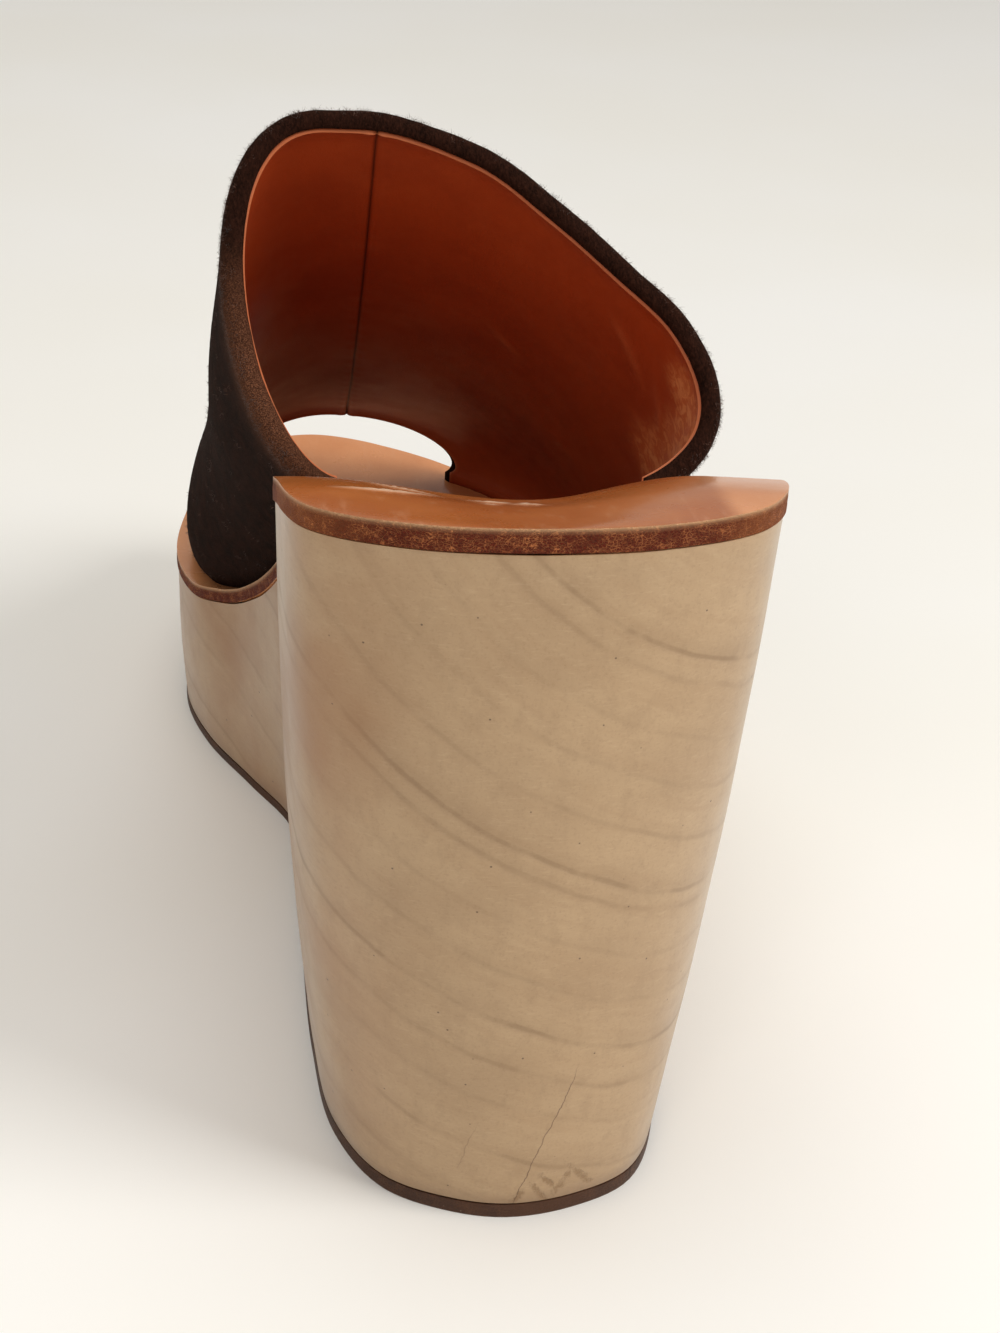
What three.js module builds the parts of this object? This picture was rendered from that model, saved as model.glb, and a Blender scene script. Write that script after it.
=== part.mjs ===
// A right-foot wedge mule: outsole, one-piece wooden wedge, leather insole layer and a hollow suede upper.
// Frame: millimetres, toe along +Y, outer (little toe) side along +X, +Z up, ground at z = 0.
import * as THREE from "three";
import { mergeVertices } from "three/addons/utils/BufferGeometryUtils.js";

// Main sizes of the shoe.
const SOLE_LENGTH = 225; // back of the heel to the tip of the toe, measured level with the ground
const BALL_WIDTH = 88; // widest part of the insole
const SEAT_HEIGHT = 118; // ground to the insole's top at the back of the heel
const PLATFORM = 34; // ground to the insole's top under the ball
const INSTEP_RISE = 78; // footbed to the upper's ridge at the collar, upright
const SEAT_DISH = 4.4; // depth of the hollow down the middle of the heel seat
const SEAT_CROWN = 0.9; // the seat swells above its rim by this much beside the hollow
const INNER_CUP = 1; // where the hollow ends, as shares of the way from the middle to either rim
const OUTER_CUP = 0.7;

// Layers and walls.
const OUTSOLE_HEEL_THICK = 2.4;
const OUTSOLE_THICK = 1.7;
const OUTSOLE_THIN_BY = 0.45; // share of the sole over which it thins from heel to front
const TOE_SPRING = 7; // lift of the outsole at the tip of the toe
const INSOLE_HEEL_THICK = 3.5;
const INSOLE_TOE_THICK = 2.4;
const INSOLE_THIN_BY = 0.6; // share of the sole's length at which the insole has reached its toe thickness
const HEEL_UNDERCUT = 6.8; // the back of the heel leans in by this much at the ground
const TOE_UNDERCUT = 2.6;
const SIDE_BELLY = 1.3; // outward bow of the wood's sides where it is tallest
const WALL = 2.3; // suede and lining together
const COLLAR_WALL = 3.9; // folded suede edge round the collar
const PEEP_WALL = 3.1; // folded suede edge round the toe opening
const COLLAR_ROLL = 6.5; // length of upper, from the collar's edge, over which the fold fades out
const PEEP_ROLL = 5;
const EDGE_SOFT = 0.5; // small bevel on the edges of the sole's layers
const GAP = 0.3; // clearance between pieces that touch
const RIM_PROUD = 0.3; // the insole's edge stands outside the wood by this much

// How finely the pieces are faceted.
const ROWS = 50; // rows of a sole layer from heel to toe
const COLUMNS = 10; // cells across a sole layer
const WOOD_LEVELS = 4; // bands up the side of the wood
const AROUND = 40; // cells of the upper from the inner foot over the ridge to the outer foot
const ALONG = 15; // cells of the upper between its two folded edges
const CURVE_STEPS = 240; // steps used to measure a side of an outline
const END_CROWDING = 0.7; // how strongly the rows of a sole layer crowd towards the rounded heel and toe
const ROLL_STEPS = [0, 0.12, 0.3, 0.62, 1]; // rows across a folded edge, as shares of its length
const ROLL_ROUND = 0.3; // share of a folded edge's length that is rounded off
const ROLL_FLAT = 0.35; // share of the wall's thickness left flat at the very edge
const PROBE = 0.004; // step, as a share of the surface, used to find which way the upper faces
const SLOPE_STEP = 1; // step used to find the footbed's slope
const SAME_POINT = 1e-6;
const WELD = 1e-4;

// Rim of the insole seen from above: along as a share of the sole's length, the two sides as shares of the
// ball width (inner side negative).
const RIM = [
  { along: 0, inner: 0.017, outer: 0.017 },
  { along: 0.009, inner: -0.18, outer: 0.2 },
  { along: 0.045, inner: -0.333, outer: 0.373 },
  { along: 0.125, inner: -0.367, outer: 0.446 },
  { along: 0.25, inner: -0.35, outer: 0.442 },
  { along: 0.43, inner: -0.309, outer: 0.418 },
  { along: 0.53, inner: -0.326, outer: 0.44 },
  { along: 0.61, inner: -0.385, outer: 0.47 },
  { along: 0.68, inner: -0.482, outer: 0.482 },
  { along: 0.76, inner: -0.518, outer: 0.455 },
  { along: 0.85, inner: -0.49, outer: 0.345 },
  { along: 0.92, inner: -0.438, outer: 0.19 },
  { along: 0.975, inner: -0.354, outer: 0.002 },
  { along: 1, inner: -0.19, outer: -0.19 },
];

// Outline on the ground; along runs from the undercut heel to the undercut toe.
const GROUND = [
  { along: 0, inner: 0.04, outer: 0.04 },
  { along: 0.009, inner: -0.06, outer: 0.155 },
  { along: 0.036, inner: -0.167, outer: 0.266 },
  { along: 0.1, inner: -0.243, outer: 0.333 },
  { along: 0.2, inner: -0.27, outer: 0.352 },
  { along: 0.35, inner: -0.274, outer: 0.357 },
  { along: 0.47, inner: -0.27, outer: 0.377 },
  { along: 0.53, inner: -0.279, outer: 0.396 },
  { along: 0.6, inner: -0.358, outer: 0.425 },
  { along: 0.68, inner: -0.449, outer: 0.452 },
  { along: 0.76, inner: -0.494, outer: 0.43 },
  { along: 0.85, inner: -0.476, outer: 0.324 },
  { along: 0.92, inner: -0.424, outer: 0.172 },
  { along: 0.975, inner: -0.34, outer: -0.01 },
  { along: 1, inner: -0.19, outer: -0.19 },
];

// Footbed seen from the side: height as a share of the pitch between ball and heel seat, dish as a share of the
// seat's hollow and crown.
const FOOTBED = [
  { along: 0, height: 1, dish: 0 },
  { along: 0.067, height: 0.978, dish: 0.6 },
  { along: 0.133, height: 0.926, dish: 1 },
  { along: 0.2, height: 0.845, dish: 1 },
  { along: 0.267, height: 0.748, dish: 0.85 },
  { along: 0.356, height: 0.6, dish: 0.6 },
  { along: 0.444, height: 0.433, dish: 0.4 },
  { along: 0.524, height: 0.266, dish: 0.3 },
  { along: 0.591, height: 0.131, dish: 0.3 },
  { along: 0.64, height: 0.054, dish: 0.3 },
  { along: 0.69, height: 0.015, dish: 0.3 },
  { along: 0.78, height: 0, dish: 0.3 },
  { along: 0.91, height: 0.009, dish: 0.2 },
  { along: 1, height: 0.026, dish: 0 },
];

// Cross sections of the upper, from the collar (at 0) to the toe opening (at 1). Feet and ridge are placed along
// the sole; ridge is its place across, as a share of ball width; top is the ridge's height as a share of the way
// from the ball's footbed up to the collar's ridge; margin is what the foot keeps from the rim in mm. Each side is
// one curve with a handle at the foot and one at the ridge: swell and shoulder are how far these reach out, as
// shares of ball width, and lift is how high the foot's handle stands, as a share of the section's height.
const SECTIONS = [
  {
    at: 0, innerFoot: 0.32, outerFoot: 0.32, ridgeAlong: 0.48, ridge: -0.25, top: 1,
    innerMargin: 7, outerMargin: 8.5, innerSwell: 0.185, outerSwell: 0.427, innerShoulder: 0.31, outerShoulder: 0.37,
    innerLift: 0, outerLift: 0.24,
  },
  {
    at: 0.25, innerFoot: 0.458, outerFoot: 0.458, ridgeAlong: 0.591, ridge: -0.227, top: 0.745,
    innerMargin: 4.5, outerMargin: 4.5, innerSwell: 0.29, outerSwell: 0.3, innerShoulder: 0.28, outerShoulder: 0.39,
    innerLift: 0.05, outerLift: 0.17,
  },
  {
    at: 0.5, innerFoot: 0.6, outerFoot: 0.6, ridgeAlong: 0.702, ridge: -0.205, top: 0.522,
    innerMargin: 4, outerMargin: 3.8, innerSwell: 0.25, outerSwell: 0.18, innerShoulder: 0.265, outerShoulder: 0.42,
    innerLift: 0.08, outerLift: 0.1,
  },
  {
    at: 0.75, innerFoot: 0.742, outerFoot: 0.765, ridgeAlong: 0.813, ridge: -0.182, top: 0.322,
    innerMargin: 3.8, outerMargin: 4, innerSwell: 0.06, outerSwell: 0.075, innerShoulder: 0.25, outerShoulder: 0.39,
    innerLift: 0.15, outerLift: 0.15,
  },
  {
    at: 1, innerFoot: 0.885, outerFoot: 0.929, ridgeAlong: 0.92, ridge: -0.155, top: 0.161,
    innerMargin: 4.6, outerMargin: 4, innerSwell: 0.04, outerSwell: 0.07, innerShoulder: 0.186, outerShoulder: 0.235,
    innerLift: 0.36, outerLift: 0.32,
  },
];
const HANDLE_ADVANCE = 1 / 3; // how far the low handle is carried from the foot towards the ridge, along the sole

// The collar's line isn't one even curve: it stands out beside the ridge and runs straighter down the outer side.
// Push is how far it lies outside its section's curve in mm, away from the collar's middle; at is the place round
// the collar. It fades out over a share of the way to the toe opening.
const COLLAR_EASE = [
  { at: 0, push: 0 },
  { at: 0.5, push: 0 },
  { at: 0.56, push: 0.95 },
  { at: 0.62, push: 1 },
  { at: 0.68, push: -0.75 },
  { at: 0.74, push: -1.45 },
  { at: 0.8, push: -0.45 },
  { at: 0.87, push: -0.5 },
  { at: 0.95, push: -0.45 },
  { at: 1, push: 0 },
];
const COLLAR_MIDDLE = new THREE.Vector2(2, 98); // across the shoe and up
const EASE_FADE = 0.45;

// Smooth value of one column of a table at a given share, without overshoot between rows.
function column(table, key, name) {
  const xs = table.map((row) => row[key]);
  const ys = table.map((row) => row[name]);
  const slope = xs.slice(1).map((x, k) => (ys[k + 1] - ys[k]) / (x - xs[k]));
  const tangent = xs.map((_, k) => {
    if (k === 0) return slope[0];
    if (k === xs.length - 1) return slope[k - 1];
    const [a, b] = [slope[k - 1], slope[k]];
    return a * b <= 0 ? 0 : (2 * a * b) / (a + b);
  });
  return (at) => {
    const x = Math.min(Math.max(at, xs[0]), xs[xs.length - 1]);
    let k = 0;
    while (k < xs.length - 2 && x > xs[k + 1]) k += 1;
    const h = xs[k + 1] - xs[k];
    const t = (x - xs[k]) / h;
    const [t2, t3] = [t * t, t * t * t];
    return (
      (2 * t3 - 3 * t2 + 1) * ys[k] +
      (t3 - 2 * t2 + t) * h * tangent[k] +
      (3 * t2 - 2 * t3) * ys[k + 1] +
      (t3 - t2) * h * tangent[k + 1]
    );
  };
}

// A closed outline from a table of sections: side curves that run from the heel's back to the toe's tip.
function outline(table, start, length) {
  const spot = (row, side) =>
    new THREE.Vector3(row[side] * BALL_WIDTH, start + row.along * length, 0);
  const middle = table.slice(1, -1);
  const ring = [
    spot(table[0], "inner"),
    ...middle.map((row) => spot(row, "outer")),
    spot(table[table.length - 1], "outer"),
    ...middle.map((row) => spot(row, "inner")).reverse(),
  ];
  const loop = new THREE.CatmullRomCurve3(ring, true, "centripetal");
  const tip = (table.length - 1) / ring.length; // the curve's parameter at the tip of the toe
  const measured = (from, to) => {
    const points = Array.from({ length: CURVE_STEPS + 1 }, (_, k) =>
      loop.getPoint((from + ((to - from) * k) / CURVE_STEPS) % 1),
    );
    const run = [0];
    for (let k = 1; k < points.length; k += 1)
      run.push(run[k - 1] + points[k].distanceTo(points[k - 1]));
    return { points, run };
  };
  return { outer: measured(0, tip), inner: measured(1, tip) };
}

// The point of a side curve at a share of its length, and the unit vector that points out of the sole there.
function onSide(curve, share, side) {
  const goal = share * curve.run[curve.run.length - 1];
  let k = 1;
  while (k < curve.run.length - 1 && curve.run[k] < goal) k += 1;
  const [a, b] = [curve.points[k - 1], curve.points[k]];
  const t = (goal - curve.run[k - 1]) / (curve.run[k] - curve.run[k - 1]);
  const ahead = b.clone().sub(a).normalize();
  const out = new THREE.Vector3(ahead.y, -ahead.x, 0).multiplyScalar(side === "outer" ? 1 : -1);
  return { point: a.clone().lerp(b, t), out };
}

// The share of a side curve at which it reaches a distance along the sole.
function shareAt(curve, y) {
  const total = curve.run[curve.run.length - 1];
  let k = 1;
  while (k < curve.points.length - 1 && curve.points[k].y < y) k += 1;
  const [a, b] = [curve.points[k - 1], curve.points[k]];
  const t = (y - a.y) / (b.y - a.y);
  return (curve.run[k - 1] + t * (curve.run[k] - curve.run[k - 1])) / total;
}

const rim = outline(RIM, 0, SOLE_LENGTH);
const ground = outline(GROUND, HEEL_UNDERCUT, SOLE_LENGTH - HEEL_UNDERCUT - TOE_UNDERCUT);

// Share of a side curve at a row of a sole layer.
const rowShare = (k) =>
  ((1 - Math.cos((Math.PI * k) / ROWS)) / 2) * END_CROWDING + (k / ROWS) * (1 - END_CROWDING);

// Footbed surface.
const bedHeight = column(FOOTBED, "along", "height");
const bedDish = column(FOOTBED, "along", "dish");
const rimInner = (y) => onSide(rim.inner, shareAt(rim.inner, y), "inner").point.x;
const rimOuter = (y) => onSide(rim.outer, shareAt(rim.outer, y), "outer").point.x;
function footbed(x, y) {
  const along = Math.min(Math.max(y / SOLE_LENGTH, 0), 1);
  const [a, b] = [rimInner(y), rimOuter(y)];
  const across = b - a > 1 ? Math.min(Math.max((2 * x - a - b) / (b - a), -1), 1) : 1;
  const cup = Math.min(Math.abs(across) / (across < 0 ? INNER_CUP : OUTER_CUP), 1);
  const hollow = (SEAT_DISH * (1 + Math.cos(Math.PI * cup))) / 2;
  const crown = SEAT_CROWN * (1 - across * across);
  return PLATFORM + bedHeight(along) * (SEAT_HEIGHT - PLATFORM) + bedDish(along) * (crown - hollow);
}

// A sheet of leather keeps its thickness on a slope, so it is measured square to the footbed.
function sheetDrop(x, y, thick) {
  const rise = (footbed(x, y + SLOPE_STEP) - footbed(x, y - SLOPE_STEP)) / (2 * SLOPE_STEP);
  return thick * Math.sqrt(1 + rise * rise);
}
const insoleThick = (y) =>
  INSOLE_HEEL_THICK + (INSOLE_TOE_THICK - INSOLE_HEEL_THICK) * Math.min(y / (SOLE_LENGTH * INSOLE_THIN_BY), 1);
const insoleUnder = (x, y) => footbed(x, y) - sheetDrop(x, y, insoleThick(y));
const woodTop = (x, y) => footbed(x, y) - sheetDrop(x, y, insoleThick(y) + GAP);

// Underside: flat from the heel to the ball, then a gentle lift to the toe.
const SPRING_START = 0.74; // share of the sole's length at which the toe begins to lift
function spring(y) {
  const t = Math.max((y / SOLE_LENGTH - SPRING_START) / (1 - SPRING_START), 0);
  return TOE_SPRING * t * t;
}

// Collects the faces of one closed body.
class Skin {
  constructor() {
    this.triangles = [];
  }
  face(a, b, c) {
    if (Math.min(a.distanceTo(b), b.distanceTo(c), c.distanceTo(a)) < SAME_POINT) return;
    this.triangles.push(a, b, c);
  }
  quad(a, b, c, d) {
    this.face(a, b, c);
    this.face(a, c, d);
  }
  grid(points, flip) {
    for (let i = 1; i < points.length; i += 1)
      for (let j = 1; j < points[i].length; j += 1) {
        const cell = [points[i - 1][j - 1], points[i - 1][j], points[i][j], points[i][j - 1]];
        this.quad(...(flip ? cell.reverse() : cell));
      }
  }
  mesh(name, color, roughness) {
    const raw = new THREE.BufferGeometry().setFromPoints(this.triangles);
    const geometry = mergeVertices(raw, WELD);
    geometry.computeVertexNormals();
    const material = new THREE.MeshStandardMaterial({ color, roughness, metalness: 0 });
    const made = new THREE.Mesh(geometry, material);
    made.name = name;
    return made;
  }
}

// A sole layer: levels run from the underside up, each with a rim and a surface. The lowest and highest level are
// closed by grids that reach across the sole.
function layer(levels) {
  const skin = new Skin();
  const edges = levels.map((level) =>
    Array.from({ length: ROWS + 1 }, (_, k) => {
      const inner = level.edge("inner", rowShare(k));
      const atEnd = k === 0 || k === ROWS;
      return { inner, outer: atEnd ? inner.clone() : level.edge("outer", rowShare(k)) };
    }),
  );
  const sheet = (l) =>
    edges[l].map(({ inner, outer }) =>
      Array.from({ length: COLUMNS + 1 }, (_, j) => {
        const p = inner.clone().lerp(outer, j / COLUMNS);
        if (j > 0 && j < COLUMNS) p.z = levels[l].height(p.x, p.y);
        return p;
      }),
    );
  skin.grid(sheet(0), true);
  skin.grid(sheet(levels.length - 1), false);
  for (let l = 1; l < levels.length; l += 1)
    for (let k = 1; k <= ROWS; k += 1) {
      const [low, high] = [edges[l - 1], edges[l]];
      skin.quad(low[k - 1].outer, low[k].outer, high[k].outer, high[k - 1].outer);
      skin.quad(low[k].inner, low[k - 1].inner, high[k - 1].inner, high[k].inner);
    }
  return skin;
}

// The edge of the sole at a share of a side: shift is 0 on the ground outline and 1 on the insole's rim.
function edgeSpot(side, share, shift, outset) {
  const [low, high] = [onSide(ground[side], share, side), onSide(rim[side], share, side)];
  const tall = footbed(high.point.x, high.point.y) / SEAT_HEIGHT;
  const bow = SIDE_BELLY * tall * Math.sin(Math.PI * shift);
  const out = low.out.clone().lerp(high.out, shift).normalize();
  return low.point.clone().lerp(high.point, shift).addScaledVector(out, bow + outset);
}

// A level of a sole layer, on a surface given by its height.
function level(shift, outset, height) {
  const edge = (side, share) => {
    const p = edgeSpot(side, share, shift, outset);
    p.z = height(p.x, p.y);
    return p;
  };
  return { edge, height };
}

const outsoleTop = (y) =>
  spring(y) + THREE.MathUtils.lerp(OUTSOLE_HEEL_THICK, OUTSOLE_THICK, Math.min(y / (SOLE_LENGTH * OUTSOLE_THIN_BY), 1));

function makeOutsole() {
  const under = (x, y) => spring(y);
  const over = (x, y) => outsoleTop(y);
  return layer([
    level(0, -EDGE_SOFT, under),
    level(0, 0, (x, y) => under(x, y) + EDGE_SOFT),
    level(0, 0, over),
  ]).mesh("outsole", 0x4a3026, 0.62);
}

function makeWedge() {
  const under = (x, y) => outsoleTop(y) + GAP;
  const levels = [];
  for (let k = 0; k <= WOOD_LEVELS; k += 1) {
    const shift = k / WOOD_LEVELS;
    levels.push(level(shift, -RIM_PROUD * shift, (x, y) => under(x, y) * (1 - shift) + woodTop(x, y) * shift));
  }
  return layer(levels).mesh("wedge", 0xc8ad86, 0.36);
}

function makeInsole() {
  return layer([
    level(1, 0, insoleUnder),
    level(1, 0, (x, y) => footbed(x, y) - EDGE_SOFT),
    level(1, -EDGE_SOFT, footbed),
  ]).mesh("insole", 0xc07a4c, 0.3);
}

// Upper.
const bySection = (name) => column(SECTIONS, "at", name);
const part = Object.fromEntries(
  Object.keys(SECTIONS[0]).filter((name) => name !== "at").map((name) => [name, bySection(name)]),
);

const collarRidge = new THREE.Vector2(part.ridge(0) * BALL_WIDTH, part.ridgeAlong(0) * SOLE_LENGTH);
const instepTop = footbed(collarRidge.x, collarRidge.y) + INSTEP_RISE;
const collarEase = column(COLLAR_EASE, "at", "push");

// The point of the insole's top on which a foot of the upper stands.
function footOn(side, along, margin) {
  const { point, out } = onSide(rim[side], shareAt(rim[side], along * SOLE_LENGTH), side);
  const p = point.addScaledVector(out, -margin);
  p.z = footbed(p.x, p.y) + GAP;
  return p;
}

// Outer face of the upper: u runs from collar to toe opening, v from the inner foot over the ridge to the outer foot.
function upperFace(u, v) {
  const side = v < 0.5 ? "inner" : "outer";
  const sign = v < 0.5 ? -1 : 1;
  const y = part.ridgeAlong(u) * SOLE_LENGTH;
  const x = part.ridge(u) * BALL_WIDTH;
  const top = new THREE.Vector3(x, y, PLATFORM + part.top(u) * (instepTop - PLATFORM));
  const foot = footOn(side, part[`${side}Foot`](u), part[`${side}Margin`](u));
  const low = foot.clone();
  low.x += sign * part[`${side}Swell`](u) * BALL_WIDTH;
  low.y += (top.y - foot.y) * HANDLE_ADVANCE;
  low.z += (top.z - foot.z) * part[`${side}Lift`](u);
  const high = top.clone();
  high.x += sign * part[`${side}Shoulder`](u) * BALL_WIDTH;
  const t = v < 0.5 ? v * 2 : 2 - v * 2;
  const p = new THREE.CubicBezierCurve3(foot, low, high, top).getPoint(t);
  const away = new THREE.Vector2(p.x, p.z).sub(COLLAR_MIDDLE).normalize();
  const push = collarEase(v) * (1 - THREE.MathUtils.smoothstep(u, 0, EASE_FADE));
  return p.add(new THREE.Vector3(away.x * push, 0, away.y * push));
}

// Unit vector out of the upper's outer face.
function upperOut(u, v) {
  const [u0, u1] = [Math.max(u - PROBE, 0), Math.min(u + PROBE, 1)];
  const [v0, v1] = [Math.max(v - PROBE, 0), Math.min(v + PROBE, 1)];
  const alongU = upperFace(u1, v).sub(upperFace(u0, v));
  const alongV = upperFace(u, v1).sub(upperFace(u, v0));
  return alongV.cross(alongU).normalize();
}

// Rows of the upper: its place along, the wall's thickness there, and how much of that is left by the rounding of a
// folded edge.
function upperRows() {
  const length = upperFace(0, 0.5).distanceTo(upperFace(1, 0.5));
  const folded = (rollLength, edgeWall) =>
    ROLL_STEPS.map((step) => {
      const fade = step * step * (3 - 2 * step);
      const bend = Math.max(1 - step / ROLL_ROUND, 0);
      return {
        u: (step * rollLength) / length,
        wall: edgeWall + (WALL - edgeWall) * fade,
        full: ROLL_FLAT + (1 - ROLL_FLAT) * Math.sqrt(1 - bend * bend),
      };
    });
  const collar = folded(COLLAR_ROLL, COLLAR_WALL);
  const peep = folded(PEEP_ROLL, PEEP_WALL).map((row) => ({ ...row, u: 1 - row.u })).reverse();
  const [first, last] = [collar[collar.length - 1].u, peep[0].u];
  const between = Array.from({ length: ALONG - 1 }, (_, k) => ({
    u: first + ((last - first) * (k + 1)) / ALONG,
    wall: WALL,
    full: 1,
  }));
  return [...collar, ...between, ...peep];
}

function makeUpper() {
  const outside = [];
  const inside = [];
  for (const { u, wall, full } of upperRows()) {
    const half = (wall / 2) * full;
    const [outRow, inRow] = [[], []];
    for (let k = 0; k <= AROUND; k += 1) {
      const v = k / AROUND;
      const out = upperOut(u, v);
      const middle = upperFace(u, v).addScaledVector(out, -wall / 2);
      const pair = [half, -half].map((shift) => {
        const p = middle.clone().addScaledVector(out, shift);
        p.z = Math.max(p.z, footbed(p.x, p.y) + GAP);
        return p;
      });
      outRow.push(pair[0]);
      inRow.push(pair[1]);
    }
    outside.push(outRow);
    inside.push(inRow);
  }
  const skin = new Skin();
  skin.grid(outside, false);
  skin.grid(inside, true);
  const strip = (a, b) => skin.grid([a, b], false);
  strip(inside[0], outside[0]);
  strip(outside[outside.length - 1], inside[inside.length - 1]);
  strip(outside.map((row) => row[0]), inside.map((row) => row[0]));
  strip(inside.map((row) => row[AROUND]), outside.map((row) => row[AROUND]));
  return skin.mesh("upper", 0x3a2218, 0.92);
}

const shoe = new THREE.Group();
shoe.name = "wedge_mule";
shoe.add(makeOutsole(), makeWedge(), makeInsole(), makeUpper());

// The frame's origin sits under the middle of the shoe's box.
shoe.updateMatrixWorld(true);
const box = new THREE.Box3().setFromObject(shoe);
const centre = box.getCenter(new THREE.Vector3());
for (const piece of shoe.children) piece.geometry.translate(-centre.x, -centre.y, 0);

export default shoe;
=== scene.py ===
# %% [markdown]
# One right-foot wedge mule: a block of pale wood, a thin dark outsole, a tan leather insole and one broad
# band of dark suede lined with russet leather. This lesson dresses the four fixed solids of the shoe with
# pieces that have the real one's edges, folds, seams, nap and grain. Every length is in millimetres until
# it enters a mesh.

# %% Load the fixed frame
import math

import bmesh
import bpy
import numpy as np
from mathutils import Matrix, Vector


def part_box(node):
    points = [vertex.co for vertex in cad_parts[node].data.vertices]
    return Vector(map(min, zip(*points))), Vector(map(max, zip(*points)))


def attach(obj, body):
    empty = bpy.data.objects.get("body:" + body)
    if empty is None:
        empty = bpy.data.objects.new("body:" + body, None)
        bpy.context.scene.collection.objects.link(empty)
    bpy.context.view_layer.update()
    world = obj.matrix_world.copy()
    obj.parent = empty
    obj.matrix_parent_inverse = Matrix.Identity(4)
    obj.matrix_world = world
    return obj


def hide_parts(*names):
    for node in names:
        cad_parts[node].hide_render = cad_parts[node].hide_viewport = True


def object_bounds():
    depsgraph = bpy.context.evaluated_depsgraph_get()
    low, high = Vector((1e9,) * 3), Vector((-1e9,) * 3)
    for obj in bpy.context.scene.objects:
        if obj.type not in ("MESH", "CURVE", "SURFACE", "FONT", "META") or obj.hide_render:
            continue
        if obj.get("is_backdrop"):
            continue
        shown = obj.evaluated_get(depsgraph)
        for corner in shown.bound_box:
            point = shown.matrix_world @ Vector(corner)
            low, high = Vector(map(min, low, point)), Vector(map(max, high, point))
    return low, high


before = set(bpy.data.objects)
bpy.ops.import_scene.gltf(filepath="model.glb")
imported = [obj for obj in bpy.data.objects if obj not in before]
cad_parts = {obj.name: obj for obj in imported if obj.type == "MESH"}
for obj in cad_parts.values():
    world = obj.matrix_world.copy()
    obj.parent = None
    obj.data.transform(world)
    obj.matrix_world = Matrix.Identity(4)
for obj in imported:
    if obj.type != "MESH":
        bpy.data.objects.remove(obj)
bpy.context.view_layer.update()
MM = 0.001

# %% [markdown]
# A maker starts from the last. Its lines are the insole's rim seen from above, the outline on the ground,
# and the footbed seen from the side. The same rows shaped the fixed solids, so a piece made from them lies
# where they do.

# %% The lines of the last
SOLE_LENGTH = 225.0
BALL_WIDTH = 88.0
SEAT_HEIGHT = 118.0
PLATFORM = 34.0
SEAT_DISH, SEAT_CROWN, INNER_CUP, OUTER_CUP = 4.4, 0.9, 1.0, 0.7
OUTSOLE_HEEL_THICK, OUTSOLE_THICK, OUTSOLE_THIN_BY = 2.4, 1.7, 0.45
TOE_SPRING, SPRING_START = 7.0, 0.74
HEEL_UNDERCUT, TOE_UNDERCUT = 6.8, 2.6
SIDE_BELLY = 1.3
INSOLE_HEEL_THICK, INSOLE_TOE_THICK, INSOLE_THIN_BY = 3.5, 2.4, 0.6
GAP = 0.3
RIM_PROUD = 0.3

RIM = {
    "along": [0, 0.009, 0.045, 0.125, 0.25, 0.43, 0.53, 0.61, 0.68, 0.76, 0.85, 0.92, 0.975, 1],
    "inner": [0.017, -0.18, -0.333, -0.367, -0.35, -0.309, -0.326, -0.385, -0.482, -0.518, -0.49, -0.438,
              -0.354, -0.19],
    "outer": [0.017, 0.2, 0.373, 0.446, 0.442, 0.418, 0.44, 0.47, 0.482, 0.455, 0.345, 0.19, 0.002, -0.19],
}
GROUND = {
    "along": [0, 0.009, 0.036, 0.1, 0.2, 0.35, 0.47, 0.53, 0.6, 0.68, 0.76, 0.85, 0.92, 0.975, 1],
    "inner": [0.04, -0.06, -0.167, -0.243, -0.27, -0.274, -0.27, -0.279, -0.358, -0.449, -0.494, -0.476,
              -0.424, -0.34, -0.19],
    "outer": [0.04, 0.155, 0.266, 0.333, 0.352, 0.357, 0.377, 0.396, 0.425, 0.452, 0.43, 0.324, 0.172, -0.01,
              -0.19],
}
FOOTBED = {
    "along": [0, 0.067, 0.133, 0.2, 0.267, 0.356, 0.444, 0.524, 0.591, 0.64, 0.69, 0.78, 0.91, 1],
    "height": [1, 0.978, 0.926, 0.845, 0.748, 0.6, 0.433, 0.266, 0.131, 0.054, 0.015, 0, 0.009, 0.026],
    "dish": [0, 0.6, 1, 1, 0.85, 0.6, 0.4, 0.3, 0.3, 0.3, 0.3, 0.3, 0.2, 0],
}


def column(table, key, name):
    """A smooth curve through one column of a table that never overshoots between its rows."""
    xs, ys = np.array(table[key], float), np.array(table[name], float)
    slope = np.diff(ys) / np.diff(xs)
    tangent = np.concatenate([slope[:1], np.zeros(len(xs) - 2), slope[-1:]])
    for k in range(1, len(xs) - 1):
        a, b = slope[k - 1], slope[k]
        tangent[k] = 0 if a * b <= 0 else 2 * a * b / (a + b)

    def at(x):
        x = np.clip(x, xs[0], xs[-1])
        k = np.clip(np.searchsorted(xs, x) - 1, 0, len(xs) - 2)
        h = xs[k + 1] - xs[k]
        t = (x - xs[k]) / h
        rise = (3 - 2 * t) * t * t
        bend = t * (t - 1) * h
        return ys[k] + (ys[k + 1] - ys[k]) * rise + bend * ((t - 1) * tangent[k] + t * tangent[k + 1])

    return at


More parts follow.
